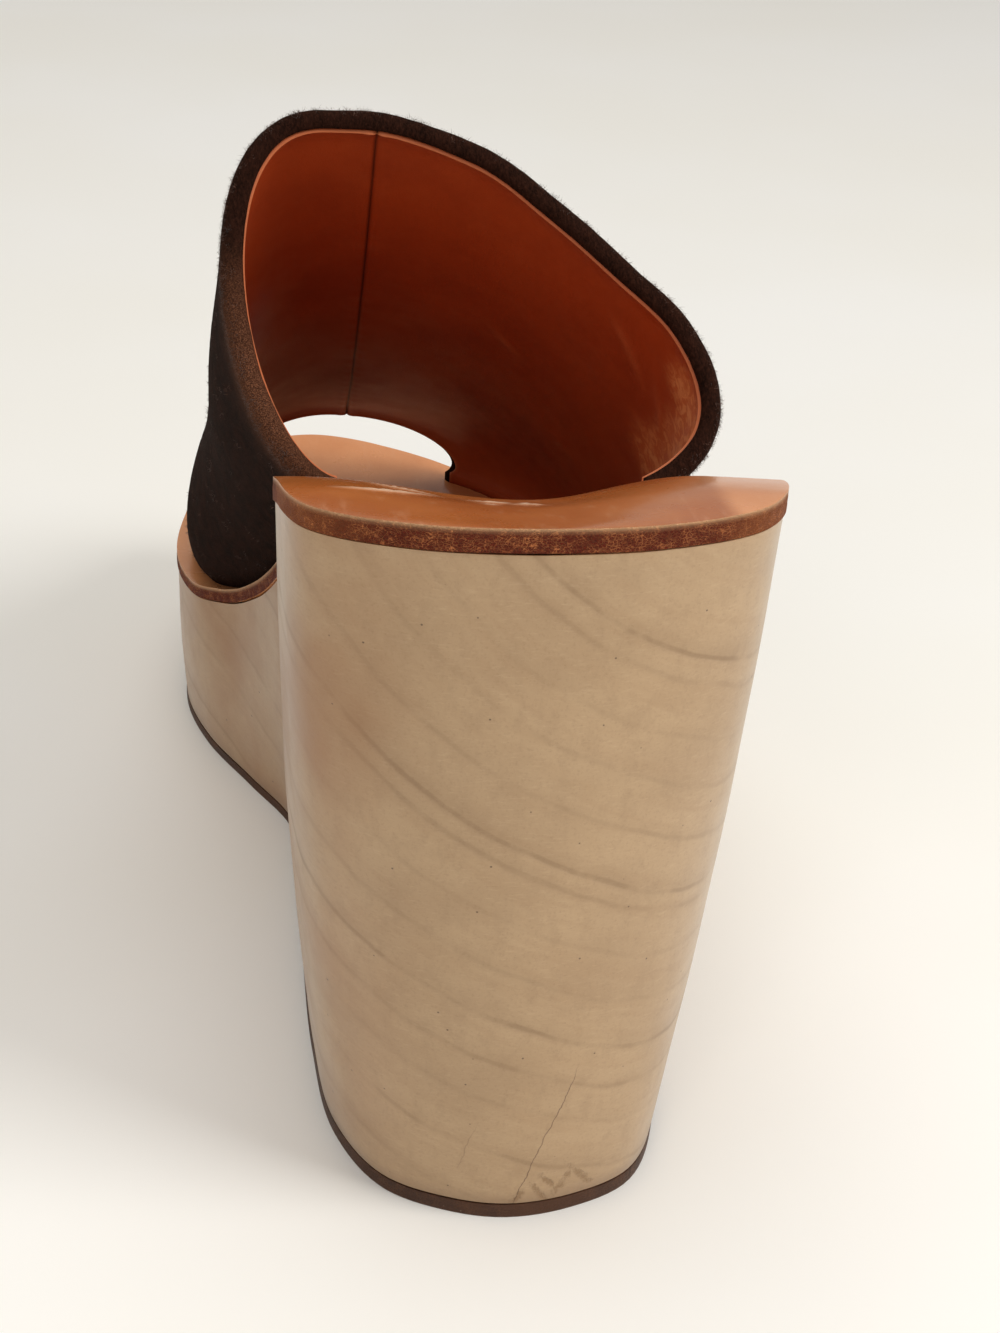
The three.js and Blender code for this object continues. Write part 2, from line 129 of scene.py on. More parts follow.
def side_curves(table, start, length, steps=48):
    """Both sides of a closed outline, from the back of the heel to the tip of the toe."""
    y = start + np.array(table["along"]) * length
    inner = np.stack([np.array(table["inner"]) * BALL_WIDTH, y], 1)
    outer = np.stack([np.array(table["outer"]) * BALL_WIDTH, y], 1)
    ring = np.concatenate([inner[:1], outer[1:], inner[-2:0:-1]])
    t = np.linspace(0, 1, steps, endpoint=False)[:, None]
    runs = []
    for k in range(len(ring)):
        p0, p1, p2, p3 = (ring[(k + j) % len(ring)] for j in (-1, 0, 1, 2))
        d0, d1, d2 = (math.sqrt(np.linalg.norm(b - a)) for a, b in ((p0, p1), (p1, p2), (p2, p3)))
        m1 = ((p1 - p0) / d0 - (p2 - p0) / (d0 + d1) + (p2 - p1) / d1) * d1
        m2 = ((p2 - p1) / d1 - (p3 - p1) / (d1 + d2) + (p3 - p2) / d2) * d1
        runs.append(p1 + m1 * t + (3 * (p2 - p1) - 2 * m1 - m2) * t**2 + (2 * (p1 - p2) + m1 + m2) * t**3)
    loop = np.concatenate(runs)
    tip = (len(y) - 1) * steps
    sides = {"outer": loop[: tip + 1], "inner": np.concatenate([loop[tip:], loop[:1]])[::-1]}
    curves = {}
    for side, points in sides.items():
        run = np.concatenate([[0], np.cumsum(np.linalg.norm(np.diff(points, axis=0), axis=1))])
        ahead = np.gradient(points, run, axis=0)
        ahead /= np.linalg.norm(ahead, axis=1)[:, None]
        turn = 1 if side == "outer" else -1
        out = np.stack([ahead[:, 1], -ahead[:, 0]], 1) * turn
        curves[side] = {"points": points, "share": run / run[-1], "out": out}
    return curves


def on_side(curves, side, share):
    """Point and outward direction on a side curve at a share of its length."""
    curve = curves[side]
    pick = [np.interp(share, curve["share"], curve[name][:, i]) for name in ("points", "out") for i in (0, 1)]
    return np.stack(pick[:2], -1), np.stack(pick[2:], -1)


def share_at(curves, side, y):
    """Share of a side curve at which it reaches a distance along the sole."""
    curve = curves[side]
    return np.interp(y, np.maximum.accumulate(curve["points"][:, 1]), curve["share"])


rim = side_curves(RIM, 0, SOLE_LENGTH)
ground = side_curves(GROUND, HEEL_UNDERCUT, SOLE_LENGTH - HEEL_UNDERCUT - TOE_UNDERCUT)
bed_height = column(FOOTBED, "along", "height")
bed_dish = column(FOOTBED, "along", "dish")

rim_low_x = rim["inner"]["points"][:, 0].min()
insole_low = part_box("insole")[0] / MM
SHIFT = np.array([insole_low.x - rim_low_x, insole_low.y - rim["inner"]["points"][:, 1].min(), 0])
print("the last sits in the frame at", SHIFT.round(2))

# %% [markdown]
# The footbed falls from the heel seat to the ball and is hollow down the middle of the seat, so the foot
# doesn't slide. Each layer of the sole takes its upper and lower surface from it.

# %% Surfaces of the sole
def footbed(x, y):
    """Height of the insole's top."""
    along = np.clip(y / SOLE_LENGTH, 0, 1)
    a = on_side(rim, "inner", share_at(rim, "inner", y))[0][..., 0]
    b = on_side(rim, "outer", share_at(rim, "outer", y))[0][..., 0]
    across = np.clip((2 * x - a - b) / np.maximum(b - a, 1), -1, 1)
    cup = np.minimum(np.abs(across) / np.where(across < 0, INNER_CUP, OUTER_CUP), 1)
    hollow = SEAT_DISH * (1 + np.cos(math.pi * cup)) / 2
    crown = SEAT_CROWN * (1 - across * across)
    return PLATFORM + bed_height(along) * (SEAT_HEIGHT - PLATFORM) + bed_dish(along) * (crown - hollow)


def sheet_drop(x, y, thick):
    """How far below the footbed the underside of a sheet lies, measured upright."""
    rise = (footbed(x, y + 1) - footbed(x, y - 1)) / 2
    return thick * np.sqrt(1 + rise * rise)


def insole_thick(y):
    fade = np.clip(y / (SOLE_LENGTH * INSOLE_THIN_BY), 0, 1)
    return INSOLE_HEEL_THICK + (INSOLE_TOE_THICK - INSOLE_HEEL_THICK) * fade


def insole_under(x, y):
    return footbed(x, y) - sheet_drop(x, y, insole_thick(y))


def wood_top(x, y):
    return footbed(x, y) - sheet_drop(x, y, insole_thick(y) + GAP)


def ground_under(x, y):
    lift = np.maximum((y / SOLE_LENGTH - SPRING_START) / (1 - SPRING_START), 0)
    return TOE_SPRING * lift * lift


def outsole_top(x, y):
    fade = np.clip(y / (SOLE_LENGTH * OUTSOLE_THIN_BY), 0, 1)
    return ground_under(x, y) + OUTSOLE_HEEL_THICK + (OUTSOLE_THICK - OUTSOLE_HEEL_THICK) * fade


def wood_under(x, y):
    return outsole_top(x, y) + GAP


# %% [markdown]
# A sole layer is a closed slab. Its rim is walked in four runs, round the heel, along the outer side, round
# the toe and back along the inner side, so that a plain grid can span it without a pole where the light
# would pinch.

# %% Grids and slabs
def lay_grid(bm, places):
    """Adds a grid of faces whose corners lie at a table of places (rows, columns, 3) in millimetres."""
    rows, columns = places.shape[:2]
    made = bmesh.ops.create_grid(bm, x_segments=columns - 1, y_segments=rows - 1, size=1)
    flat = (places.reshape(-1, 3) + SHIFT) * MM
    for vert, place in zip(made["verts"], flat.tolist()):
        vert.co = place
    return made["verts"]


CORNER_BACK, CORNER_TOE = 0.1, 0.92


def rim_walk(ends, sides):
    """Signed shares round the sole, inner side negative: heel, outer side, toe, inner side."""
    back = np.linspace(-CORNER_BACK, CORNER_BACK, ends + 1)
    outer = np.linspace(CORNER_BACK, CORNER_TOE, sides + 1)[1:]
    half_toe = np.linspace(CORNER_TOE, 1, ends // 2 + 1)[1:]
    inner_toe = -half_toe[::-1][1:]
    inner = -np.linspace(CORNER_TOE, CORNER_BACK, sides + 1)
    return np.concatenate([back, outer, half_toe, inner_toe, inner])


def ring_at(walk, shift, outset):
    """The sole's edge between the ground outline (shift 0) and the insole's rim (shift 1)."""
    parts = {}
    for side in ("inner", "outer"):
        low, low_out = on_side(ground, side, np.abs(walk))
        high, high_out = on_side(rim, side, np.abs(walk))
        out = low_out * (1 - shift) + high_out * shift
        out /= np.linalg.norm(out, axis=1)[:, None]
        bow = SIDE_BELLY * footbed(high[:, 0], high[:, 1]) / SEAT_HEIGHT * math.sin(math.pi * shift)
        parts[side] = low * (1 - shift) + high * shift + out * (bow + outset)[:, None]
    return np.where((walk < 0)[:, None], parts["inner"], parts["outer"])


def span(ring, ends, sides):
    """A grid of places inside a ring, blended from its four runs."""
    back = ring[: ends + 1]
    outer = ring[ends : ends + sides + 1]
    toe = ring[ends + sides : 2 * ends + sides + 1][::-1]
    inner = ring[2 * ends + sides :][::-1]
    a = np.linspace(0, 1, ends + 1)[None, :, None]
    b = np.linspace(0, 1, sides + 1)[:, None, None]
    runs = (1 - b) * back[None] + b * toe[None] + (1 - a) * inner[:, None] + a * outer[:, None]
    corners = (1 - b) * ((1 - a) * back[0] + a * back[-1]) + b * ((1 - a) * toe[0] + a * toe[-1])
    return runs - corners


def raised(flat, height):
    """Gives flat places their height."""
    return np.concatenate([flat, height(flat[..., 0], flat[..., 1])[..., None]], -1)


def layer(low, high, share):
    """The surface at a share of the way from one surface up to another."""
    return lambda x, y: low(x, y) * (1 - share) + high(x, y) * share


def slab(levels, grid):
    """A closed slab from levels of (shift, outset, height), lowest first. Returns its bmesh."""
    ends, sides = grid
    walk = rim_walk(ends, sides)
    rings = [ring_at(walk, shift, outset) for shift, outset, _ in levels]
    bm = bmesh.new()
    lay_grid(bm, np.array([raised(ring, level[2]) for ring, level in zip(rings, levels)]))
    for face in bm.faces:
        face.material_index = 1
    lay_grid(bm, raised(span(rings[0], ends, sides), levels[0][2]))
    lay_grid(bm, raised(span(rings[-1], ends, sides), levels[-1][2]))
    bmesh.ops.remove_doubles(bm, verts=bm.verts, dist=0.002 * MM)
    bmesh.ops.recalc_face_normals(bm, faces=bm.faces)
    return bm


def round_edges(bm, width, segments, sharper_than=50):
    """Rounds the sharp edges of a body."""
    sharp = [e for e in bm.edges if len(e.link_faces) == 2
             and e.calc_face_angle(0) > math.radians(sharper_than)]
    bmesh.ops.bevel(bm, geom=sharp, offset=width * MM, offset_type="OFFSET", segments=segments, profile=0.5,
                    affect="EDGES", clamp_overlap=True, material=-1)
    return len(sharp)


def piece_from(bm, name, materials, node):
    """Turns a bmesh into a finished piece of the shoe that stands for a CAD node."""
    for face in bm.faces:
        face.smooth = True
    mesh = bpy.data.meshes.new(name)
    bm.to_mesh(mesh)
    bm.free()
    obj = bpy.data.objects.new(name, mesh)
    bpy.context.scene.collection.objects.link(obj)
    for material in materials:
        mesh.materials.append(material)
    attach(obj, "root")
    if node:
        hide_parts(node)
    print(name, "has", sum(len(p.vertices) - 2 for p in mesh.polygons), "triangles")
    return obj


def spots(obj):
    """Places and outward directions of a mesh's corners, in millimetres of the last."""
    count = len(obj.data.vertices)
    co, normal = np.zeros(count * 3), np.zeros(count * 3)
    obj.data.vertices.foreach_get("co", co)
    obj.data.vertices.foreach_get("normal", normal)
    return co.reshape(-1, 3) / MM, normal.reshape(-1, 3)


def move(obj, places):
    obj.data.vertices.foreach_set("co", (places * MM).ravel())
    obj.data.update()


def note(obj, name, values):
    """Writes a number on every corner, which a material can read."""
    layer = obj.data.attributes.new(name, "FLOAT", "POINT")
    layer.data.foreach_set("value", np.asarray(values, np.float32))


def to_line(places, line):
    """Distance from places to a line of points, and how far along it (0 to 1) the nearest point lies."""
    line = np.array(line, float)
    best = np.full(len(places), 1e9)
    along = np.zeros(len(places))
    for k in range(len(line) - 1):
        a, d = line[k], line[k + 1] - line[k]
        t = np.clip((places - a) @ d / (d @ d), 0, 1)
        gap = np.linalg.norm(places - a - t[:, None] * d, axis=1)
        along = np.where(gap < best, (k + t) / (len(line) - 1), along)
        best = np.minimum(best, gap)
    return best, along

# %% [markdown]
# The colours and finishes are built from shader nodes. Textures are read in millimetres of the object
# itself, so a grain of 0.3 mm is written as 0.3 mm. An effect that several finishes share is one node
# group.

# %% Helpers for shader nodes
def srgb(red, green, blue):
    """A colour given in 0-255 steps, as the linear colour that a shader wants."""
    parts = [c / 255 for c in (red, green, blue)]
    return tuple(c / 12.92 if c <= 0.04045 else ((c + 0.055) / 1.055) ** 2.4 for c in parts) + (1.0,)


class Web:
    """A node tree being wired: each call adds one node and returns its output socket."""

    def __init__(self, tree):
        self.tree = tree

    def node(self, kind, inputs=None, **settings):
        made = self.tree.nodes.new(kind)
        for name, value in settings.items():
            setattr(made, name, value)
        for name, value in (inputs or {}).items():
            socket = made.inputs[name]
            if isinstance(value, bpy.types.NodeSocket):
                self.link(value, socket)
            else:
                socket.default_value = value
        return made

    def link(self, source, target):
        self.tree.links.new(source, target)

    def math(self, operation, *values, clamp=False):
        return self.node("ShaderNodeMath", dict(enumerate(values)), operation=operation,
                         use_clamp=clamp).outputs[0]

    def plus(self, a, b, clamp=False):
        return self.math("ADD", a, b, clamp=clamp)

    def minus(self, a, b):
        return self.math("SUBTRACT", a, b)

    def times(self, a, b, clamp=False):
        return self.math("MULTIPLY", a, b, clamp=clamp)

    def most(self, a, b):
        return self.math("MAXIMUM", a, b)

    def length(self, a, b):
        """Length of the slanting side over two square ones."""
        return self.math("SQRT", self.plus(self.times(a, a), self.times(b, b)))

    def scaled(self, vector, by):
        return self.node("ShaderNodeVectorMath", {0: vector, 3: by}, operation="SCALE").outputs[0]

    def per(self, vector, size):
        """A place counted in steps of a group's own size."""
        return self.scaled(vector, self.math("DIVIDE", 1.0, size))

    def millimetres(self):
        """Place on the object in millimetres."""
        return self.scaled(self.node("ShaderNodeTexCoord").outputs["Object"], 1 / MM)

    def stretched(self, vector, scale, turn=(0, 0, 0)):
        return self.node("ShaderNodeMapping", {"Vector": vector, "Rotation": turn, "Scale": scale}).outputs[0]

    def noise(self, vector, size, detail=3.0, rough=0.55, lift=0.0):
        """Cloudy noise whose clouds are about size mm across."""
        made = self.node("ShaderNodeTexNoise", {"Vector": vector, "Scale": 1 / size, "Detail": detail,
                                                "Roughness": rough, "Distortion": lift})
        return made.outputs["Fac"]

    def shaken(self, vector, per_mm, detail):
        """A place pushed about by noise, so that a pattern read from it turns crooked."""
        made = self.node("ShaderNodeTexNoise", {"Vector": vector, "Scale": per_mm, "Detail": detail})
        push = made.outputs["Color"]
        return self.node("ShaderNodeVectorMath", {0: vector, 1: push}, operation="ADD").outputs[0]

    def cells(self, vector, size, feature="F1"):
        made = self.node("ShaderNodeTexVoronoi", {"Vector": vector, "Scale": 1 / size}, feature=feature)
        return made.outputs["Distance"]

    def between(self, value, low, high, to_low=0.0, to_high=1.0):
        """Maps low..high smoothly to to_low..to_high."""
        made = self.node("ShaderNodeMapRange", {"Value": value, "From Min": low, "From Max": high,
                                                "To Min": to_low, "To Max": to_high},
                         interpolation_type="SMOOTHSTEP")
        return made.outputs[0]

    def mix(self, share, a, b):
        made = self.node("ShaderNodeMix", {0: share, 6: a, 7: b}, data_type="RGBA", clamp_factor=True)
        return made.outputs[2]

    def read(self, name):
        return self.node("ShaderNodeAttribute", attribute_name=name, attribute_type="GEOMETRY").outputs["Fac"]

    def axis(self, vector):
        made = self.node("ShaderNodeSeparateXYZ", {0: vector})
        return made.outputs[0], made.outputs[1], made.outputs[2]

    def bump(self, height, depth):
        """Relief of a given depth in mm from a height of 0 to 1."""
        return self.node("ShaderNodeBump", {"Height": height, "Distance": depth * MM}).outputs[0]


def group(name, inputs, outputs):
    """A node group with named inputs and outputs, and the two nodes that hold them."""
    tree = bpy.data.node_groups.new(name, "ShaderNodeTree")
    for way, sockets in (("INPUT", inputs), ("OUTPUT", outputs)):
        for label, kind in sockets.items():
            tree.interface.new_socket(label, in_out=way, socket_type=kind)
    given, out = tree.nodes.new("NodeGroupInput").outputs, tree.nodes.new("NodeGroupOutput").inputs
    return tree, Web(tree), given, out


def use(web, tree, **values):
    """Places a node group in a material and returns its outputs."""
    return web.node("ShaderNodeGroup", values, node_tree=tree).outputs


def finish_of(name, **plain):
    """A material with one Principled BSDF and the values that are the same all over it."""
    material = bpy.data.materials.new(name)
    material.use_nodes = True
    web = Web(material.node_tree)
    shader = material.node_tree.nodes["Principled BSDF"]
    for label, value in plain.items():
        shader.inputs[label.replace("_", " ")].default_value = value
    return material, web, shader.inputs


VECTOR, COLOUR, VALUE = "NodeSocketVector", "NodeSocketColor", "NodeSocketFloat"

# %% [markdown]
# Leather grain is a net of fine wrinkles between small flat cells, with a few open pores. The lining, the
# insole and the folded edge all show it, each at its own size.

# %% Shared effect: leather grain
grain, web, given, out = group(
    "leather grain",
    {"Place": VECTOR, "Cell": VALUE, "Wrinkle": VALUE},
    {"Height": VALUE, "Pores": VALUE},
)
by_cell = web.per(web.shaken(given["Place"], 0.9, detail=2.0), given["Cell"])
flat_cells = web.between(web.cells(by_cell, 1.0, feature="DISTANCE_TO_EDGE"), 0.0, 0.22)
fine = web.noise(by_cell, 0.45, detail=4.0, rough=0.6)
height = web.plus(web.times(flat_cells, given["Wrinkle"]), web.times(fine, 0.5))
pore = web.between(web.cells(by_cell, 2.6), 0.0, 0.11, 1.0, 0.0)
web.link(web.minus(height, web.times(pore, 0.6)), out["Height"])
web.link(pore, out["Pores"])

# %% [markdown]
# Raw leather, cut square, shows felted fibres: pale threads over a dark, stained core. The rim of the
# insole, the cut edge of the lining and the side of the outsole share it.

# %% Shared effect: cut fibres
fibres, web, given, out = group(
    "cut fibres",
    {"Place": VECTOR, "Thread": VALUE, "Dark": COLOUR, "Pale": COLOUR, "Amount": VALUE},
    {"Color": COLOUR, "Height": VALUE},
)
fine_place = web.per(web.stretched(given["Place"], (0.75, 0.75, 1.25)), given["Thread"])
crooked = web.shaken(fine_place, 0.8, detail=3.0)
net_a = web.between(web.cells(crooked, 1.0, feature="DISTANCE_TO_EDGE"), 0.0, 0.13, 1.0, 0.0)
net_b = web.between(web.cells(crooked, 0.45, feature="DISTANCE_TO_EDGE"), 0.0, 0.12, 0.7, 0.0)
patches = web.between(web.noise(given["Place"], 2.4, detail=4.0), 0.38, 0.66)
threads = web.most(net_a, net_b)
shown = web.times(threads, web.plus(web.times(patches, 0.75), 0.25))
share = web.times(shown, web.times(given["Amount"], 2.0), clamp=True)
grit = web.noise(fine_place, 0.3, detail=3.0)
deep = web.mix(web.between(grit, 0.3, 0.7), web.mix(0.55, given["Dark"], (0, 0, 0, 1)), given["Dark"])
web.link(web.mix(share, deep, given["Pale"]), out["Color"])
web.link(web.plus(web.times(threads, 0.6), web.times(grit, 0.6)), out["Height"])

# %% [markdown]
# Everyday handling leaves soft smudges and a little dust. One group gives both as masks, which each finish
# uses to shift its colour and gloss slightly.

# %% Shared effect: handling
handling, web, given, out = group(
    "handling",
    {"Place": VECTOR, "Smudge": VALUE, "Speck": VALUE},
    {"Smudges": VALUE, "Specks": VALUE, "Scuffs": VALUE},
)
slow = web.per(given["Place"], given["Smudge"])
web.link(web.between(web.noise(slow, 1.0, detail=5.0, rough=0.6), 0.35, 0.7), out["Smudges"])
dots = web.per(given["Place"], given["Speck"])
web.link(web.between(web.cells(dots, 1.0), 0.03, 0.09, 1.0, 0.0), out["Specks"])
long_way = web.stretched(slow, (9.0, 1.3, 5.0), turn=(0.3, 0.2, 0.5))
web.link(web.between(web.noise(long_way, 0.5, detail=6.0, rough=0.65), 0.62, 0.74), out["Scuffs"])

# %% [markdown]
# The outsole is a thin, firm sheet the colour of dark chocolate. It is cut flush, its edge is buffed, and
# the underside is scuffed where the heel and the ball press on it.

# %% Outsole finish
outsole_finish, web, shader = finish_of("outsole_sheet", Specular_IOR_Level=0.3)
place = web.millimetres()
wear = use(web, handling, Place=place, Smudge=26.0, Speck=1.6)
cut = use(web, fibres, Place=place, Thread=0.45, Dark=srgb(68, 40, 24), Pale=srgb(116, 76, 50), Amount=0.35)
base = web.mix(wear["Smudges"], cut["Color"], srgb(82, 52, 34))
x, y, z = web.axis(place)
pressed = web.between(z, 0.0, 0.35, 1.0, 0.0)
scuffed = web.times(pressed, web.plus(wear["Scuffs"], 0.25), clamp=True)
base = web.mix(scuffed, base, srgb(142, 118, 100))
base = web.mix(web.times(wear["Specks"], 0.5), base, srgb(170, 150, 130))
web.link(base, shader["Base Color"])
web.link(web.between(wear["Smudges"], 0.0, 1.0, 0.5, 0.68), shader["Roughness"])
pebble = web.noise(place, 0.35, detail=4.0, rough=0.65)
relief = web.plus(web.times(cut["Height"], 0.5), pebble)
web.link(web.bump(relief, 0.12), shader["Normal"])

# %% Outsole
OUTSOLE_GRID = (30, 150)
bulge = [(0, 0.05, layer(ground_under, outsole_top, share)) for share in (0.35, 0.7)]
bm = slab([(0, 0, ground_under), *bulge, (0, 0, outsole_top)], OUTSOLE_GRID)
print("rounded", round_edges(bm, 0.35, 3), "edges of the outsole")
outsole = piece_from(bm, "outsole_sheet", [outsole_finish, outsole_finish], "outsole")

# %% [markdown]
# The wedge is one block of pale, close-grained wood, turned so that its growth rings run along the shoe.
# Across the back of the heel they show as long arcs that sink to the outer side and flatten. The block is
# sanded, stained slightly, and sealed with a satin lacquer. A hairline crack climbs from the bottom edge of
# the heel, with a few ragged bruises beside it, each listed one by one. All of them are read from places in
# millimetres.

# %% Wood finish
RING_X, RING_Z = 62.0, 166.0
wood_finish, web, shader = finish_of("lacquered_wood", Coat_Roughness=0.22, Coat_IOR=1.48, IOR=1.45)
place = web.millimetres()
x, y, z = web.axis(place)
sway_a = web.times(web.minus(web.noise(place, 46.0, detail=2.0), 0.5), 6.0)
sway_b = web.times(web.minus(web.noise(place, 9.0, detail=3.0), 0.5), 1.3)
dx = web.minus(x, RING_X)
dz = web.minus(z, RING_Z)
radius = web.plus(web.length(dx, dz), web.plus(sway_a, sway_b))


def late_wood(at, width, strength):
    """One dark ring: it darkens slowly outwards and ends sharply."""
    wide = web.times(web.between(radius, at - width, at, 0.0, 0.42), web.between(radius, at, at + 0.9, 1, 0))
    thin = web.between(web.math("ABSOLUTE", web.minus(radius, at - 0.2)), 0.12, 0.75, 1.0, 0.0)
    return web.times(web.most(wide, thin), strength)


RINGS = ((79, 4, 0.85), (83, 2, 0.4), (91, 3, 0.25), (98, 2.5, 0.3), (106.5, 3, 0.45), (115, 4, 0.8),
         (118, 2, 0.5), (126, 3, 0.25), (134, 3, 0.35), (142, 4, 0.85), (149, 3, 0.6), (156, 3, 0.3),
         (165, 4, 0.6), (174, 3, 0.4), (187, 4, 0.6))
rings = 0.0
for ring in RINGS:
    rings = web.most(rings, late_wood(*ring))
broken = web.between(web.noise(web.stretched(place, (1.0, 0.35, 1.0)), 7.0, detail=4.0), 0.34, 0.62)
rings = web.times(rings, web.plus(web.times(broken, 0.8), 0.2))
clouds = web.noise(web.stretched(place, (1.0, 0.3, 1.6), turn=(0, 0.55, 0)), 22.0, detail=3.0, rough=0.5)
across = {0: radius, 1: web.times(x, 0.12), 2: web.times(y, 0.05)}
across_rings = web.node("ShaderNodeCombineXYZ", across).outputs[0]
bands = web.noise(across_rings, 2.1, detail=5.0, rough=0.6)
fleck = web.noise(web.stretched(place, (1.0, 0.22, 1.0)), 0.45, detail=3.0, rough=0.7)
rays = web.noise(web.stretched(place, (0.5, 0.1, 2.6), turn=(0, -0.5, 0)), 0.9, detail=4.0, rough=0.7)
grime = web.noise(web.stretched(place, (1.0, 1.0, 0.55)), 3.0, detail=6.0, rough=0.7)
base = web.mix(web.between(clouds, 0.3, 0.7), srgb(170, 140, 105), srgb(180, 150, 114))
base = web.mix(web.between(bands, 0.4, 0.75, 0.0, 0.3), base, srgb(158, 124, 88))
base = web.mix(web.between(grime, 0.45, 0.7, 0.0, 0.34), base, srgb(154, 124, 91))
base = web.mix(web.between(fleck, 0.48, 0.75, 0.0, 0.28), base, srgb(136, 104, 72))
base = web.mix(web.between(rays, 0.52, 0.74, 0.0, 0.26), base, srgb(200, 172, 136))
base = web.mix(web.times(rings, 0.62), base, srgb(122, 92, 60))
# painted shade: the inner side of the wood is painted a darker tan, broken up by noise, where shade falls
# between the pair
inner_side_shade = web.between(x, -30.0, -6.0, 1.0, 0.0)
painted_inner_shade = web.times(inner_side_shade, web.between(web.noise(place, 24.0, detail=3.0), 0.25, 0.75))
base = web.mix(web.times(painted_inner_shade, 0.8), base, srgb(146, 98, 54))
pores = web.between(web.cells(web.stretched(place, (1.0, 0.3, 1.0)), 3.6), 0.02, 0.06, 1.0, 0.0)
base = web.mix(web.times(pores, 0.8), base, srgb(70, 46, 30))


def hairline(foot_x, foot_z, top_x, top_z, width, strength):
    """A crack between two heights on the back of the heel, wandering as it climbs."""
    climb = web.math("DIVIDE", web.minus(z, foot_z), top_z - foot_z)
    line = web.plus(web.times(climb, top_x - foot_x), foot_x)
    wander = web.times(web.minus(web.noise(place, 4.5, detail=4.0, rough=0.6), 0.5), 2.0)
    off = web.math("ABSOLUTE", web.minus(x, web.plus(line, wander)))
    across = web.between(off, width * 0.4, width * 1.3, 1.0, 0.0)
    ends = web.times(web.between(z, foot_z - 1.5, foot_z), web.between(z, top_z - 6, top_z, 1.0, 0.0))
    back = web.between(y, -96.0, -92.0, 1.0, 0.0)
    return web.times(web.times(across, ends), web.times(back, strength))


long_crack = hairline(6.1, 2.8, 14.8, 30.5, 0.1, 0.8)
crack = web.most(long_crack, hairline(-2.4, 10.0, 0.0, 20.0, 0.09, 0.35))
ragged = web.times(web.minus(web.noise(place, 0.8, detail=4.0, rough=0.7), 0.5), 4.6)


def scuff(at_x, at_z, long, wide, slant):
    """A soft, ragged bruise near the bottom edge of the heel's back, falling to the outer side."""
    off_x = web.minus(x, at_x)
    off_z = web.minus(z, at_z)
    down = web.minus(web.times(off_x, math.cos(slant) / long), web.times(off_z, math.sin(slant) / long))
    side = web.plus(web.times(off_x, math.sin(slant) / wide), web.times(off_z, math.cos(slant) / wide))
    return web.between(web.plus(web.length(down, side), ragged), 0.1, 1.9, 1.0, 0.0)


SCUFFS = ((6.5, 3.7, 1.3, 0.5, 2.1), (9.9, 4.3, 2.0, 0.4, 1.0), (10.9, 6.6, 1.5, 0.35, 0.9),
          (13.0, 4.9, 1.1, 0.5, 2.3), (14.1, 6.7, 1.0, 0.4, 2.0), (16.4, 6.2, 2.2, 0.45, 0.9))
bruises = 0.0
for mark in SCUFFS:
    bruises = web.most(bruises, scuff(*mark))
bruises = web.times(bruises, web.between(y, -96.0, -90.0, 1.0, 0.0))
base = web.mix(web.times(bruises, 0.4), base, srgb(104, 76, 50))
base = web.mix(web.times(crack, 0.85), base, srgb(96, 66, 42))
# the wood is painted darker over its lowest few millimetres
darker_low_band = web.times(web.between(z, 2.4, 5.4, 1.0, 0.0), 0.45)
base = web.mix(darker_low_band, base, srgb(132, 100, 72))
wear = use(web, handling, Place=place, Smudge=30.0, Speck=3.1)
web.link(base, shader["Base Color"])
rough = web.plus(web.between(wear["Smudges"], 0.0, 1.0, 0.36, 0.46), web.times(rings, 0.06))
web.link(web.plus(rough, web.times(bruises, 0.3), clamp=True), shader["Roughness"])
sealed = web.minus(0.34, web.times(web.most(bruises, wear["Scuffs"]), 0.28))
web.link(sealed, shader["Coat Weight"])
relief = web.plus(web.times(fleck, 0.3), web.times(rays, 0.15))
relief = web.minus(relief, web.times(pores, 0.5))
relief = web.minus(relief, web.plus(web.times(crack, 0.9), web.times(bruises, 1.4)))
soft = web.noise(place, 9.0, detail=2.0, rough=0.4)
web.link(web.bump(web.plus(relief, web.times(soft, 0.3)), 0.06), shader["Normal"])

# %% [markdown]
# The block is built as a slab with many levels, so its side can bow out a little between the ground and the
# insole. Its lower and upper edges are eased with a bevel. A hand-sanded side is never quite flat: a slow
# swell of less than a tenth of a millimetre makes its highlights waver.

# %% Wedge
WEDGE_LEVELS, WEDGE_GRID = 44, (36, 170)
shares = [k / WEDGE_LEVELS for k in range(WEDGE_LEVELS + 1)]
bm = slab([(share, -RIM_PROUD * share, layer(wood_under, wood_top, share)) for share in shares], WEDGE_GRID)
print("rounded", round_edges(bm, 0.4, 3), "edges of the wedge")
wedge = piece_from(bm, "wood_wedge", [wood_finish, wood_finish], "wedge")
places, normals = spots(wedge)
swell = np.sin(places[:, 2] / 7.1 + places[:, 0] / 9.3) * np.sin(places[:, 1] / 11.7 + places[:, 2] / 13.9)
upright = np.abs(normals[:, 2]) < 0.7
move(wedge, places + normals * (0.07 * swell * upright)[:, None])
print("wedge box in mm:", places.min(0).round(1), places.max(0).round(1))
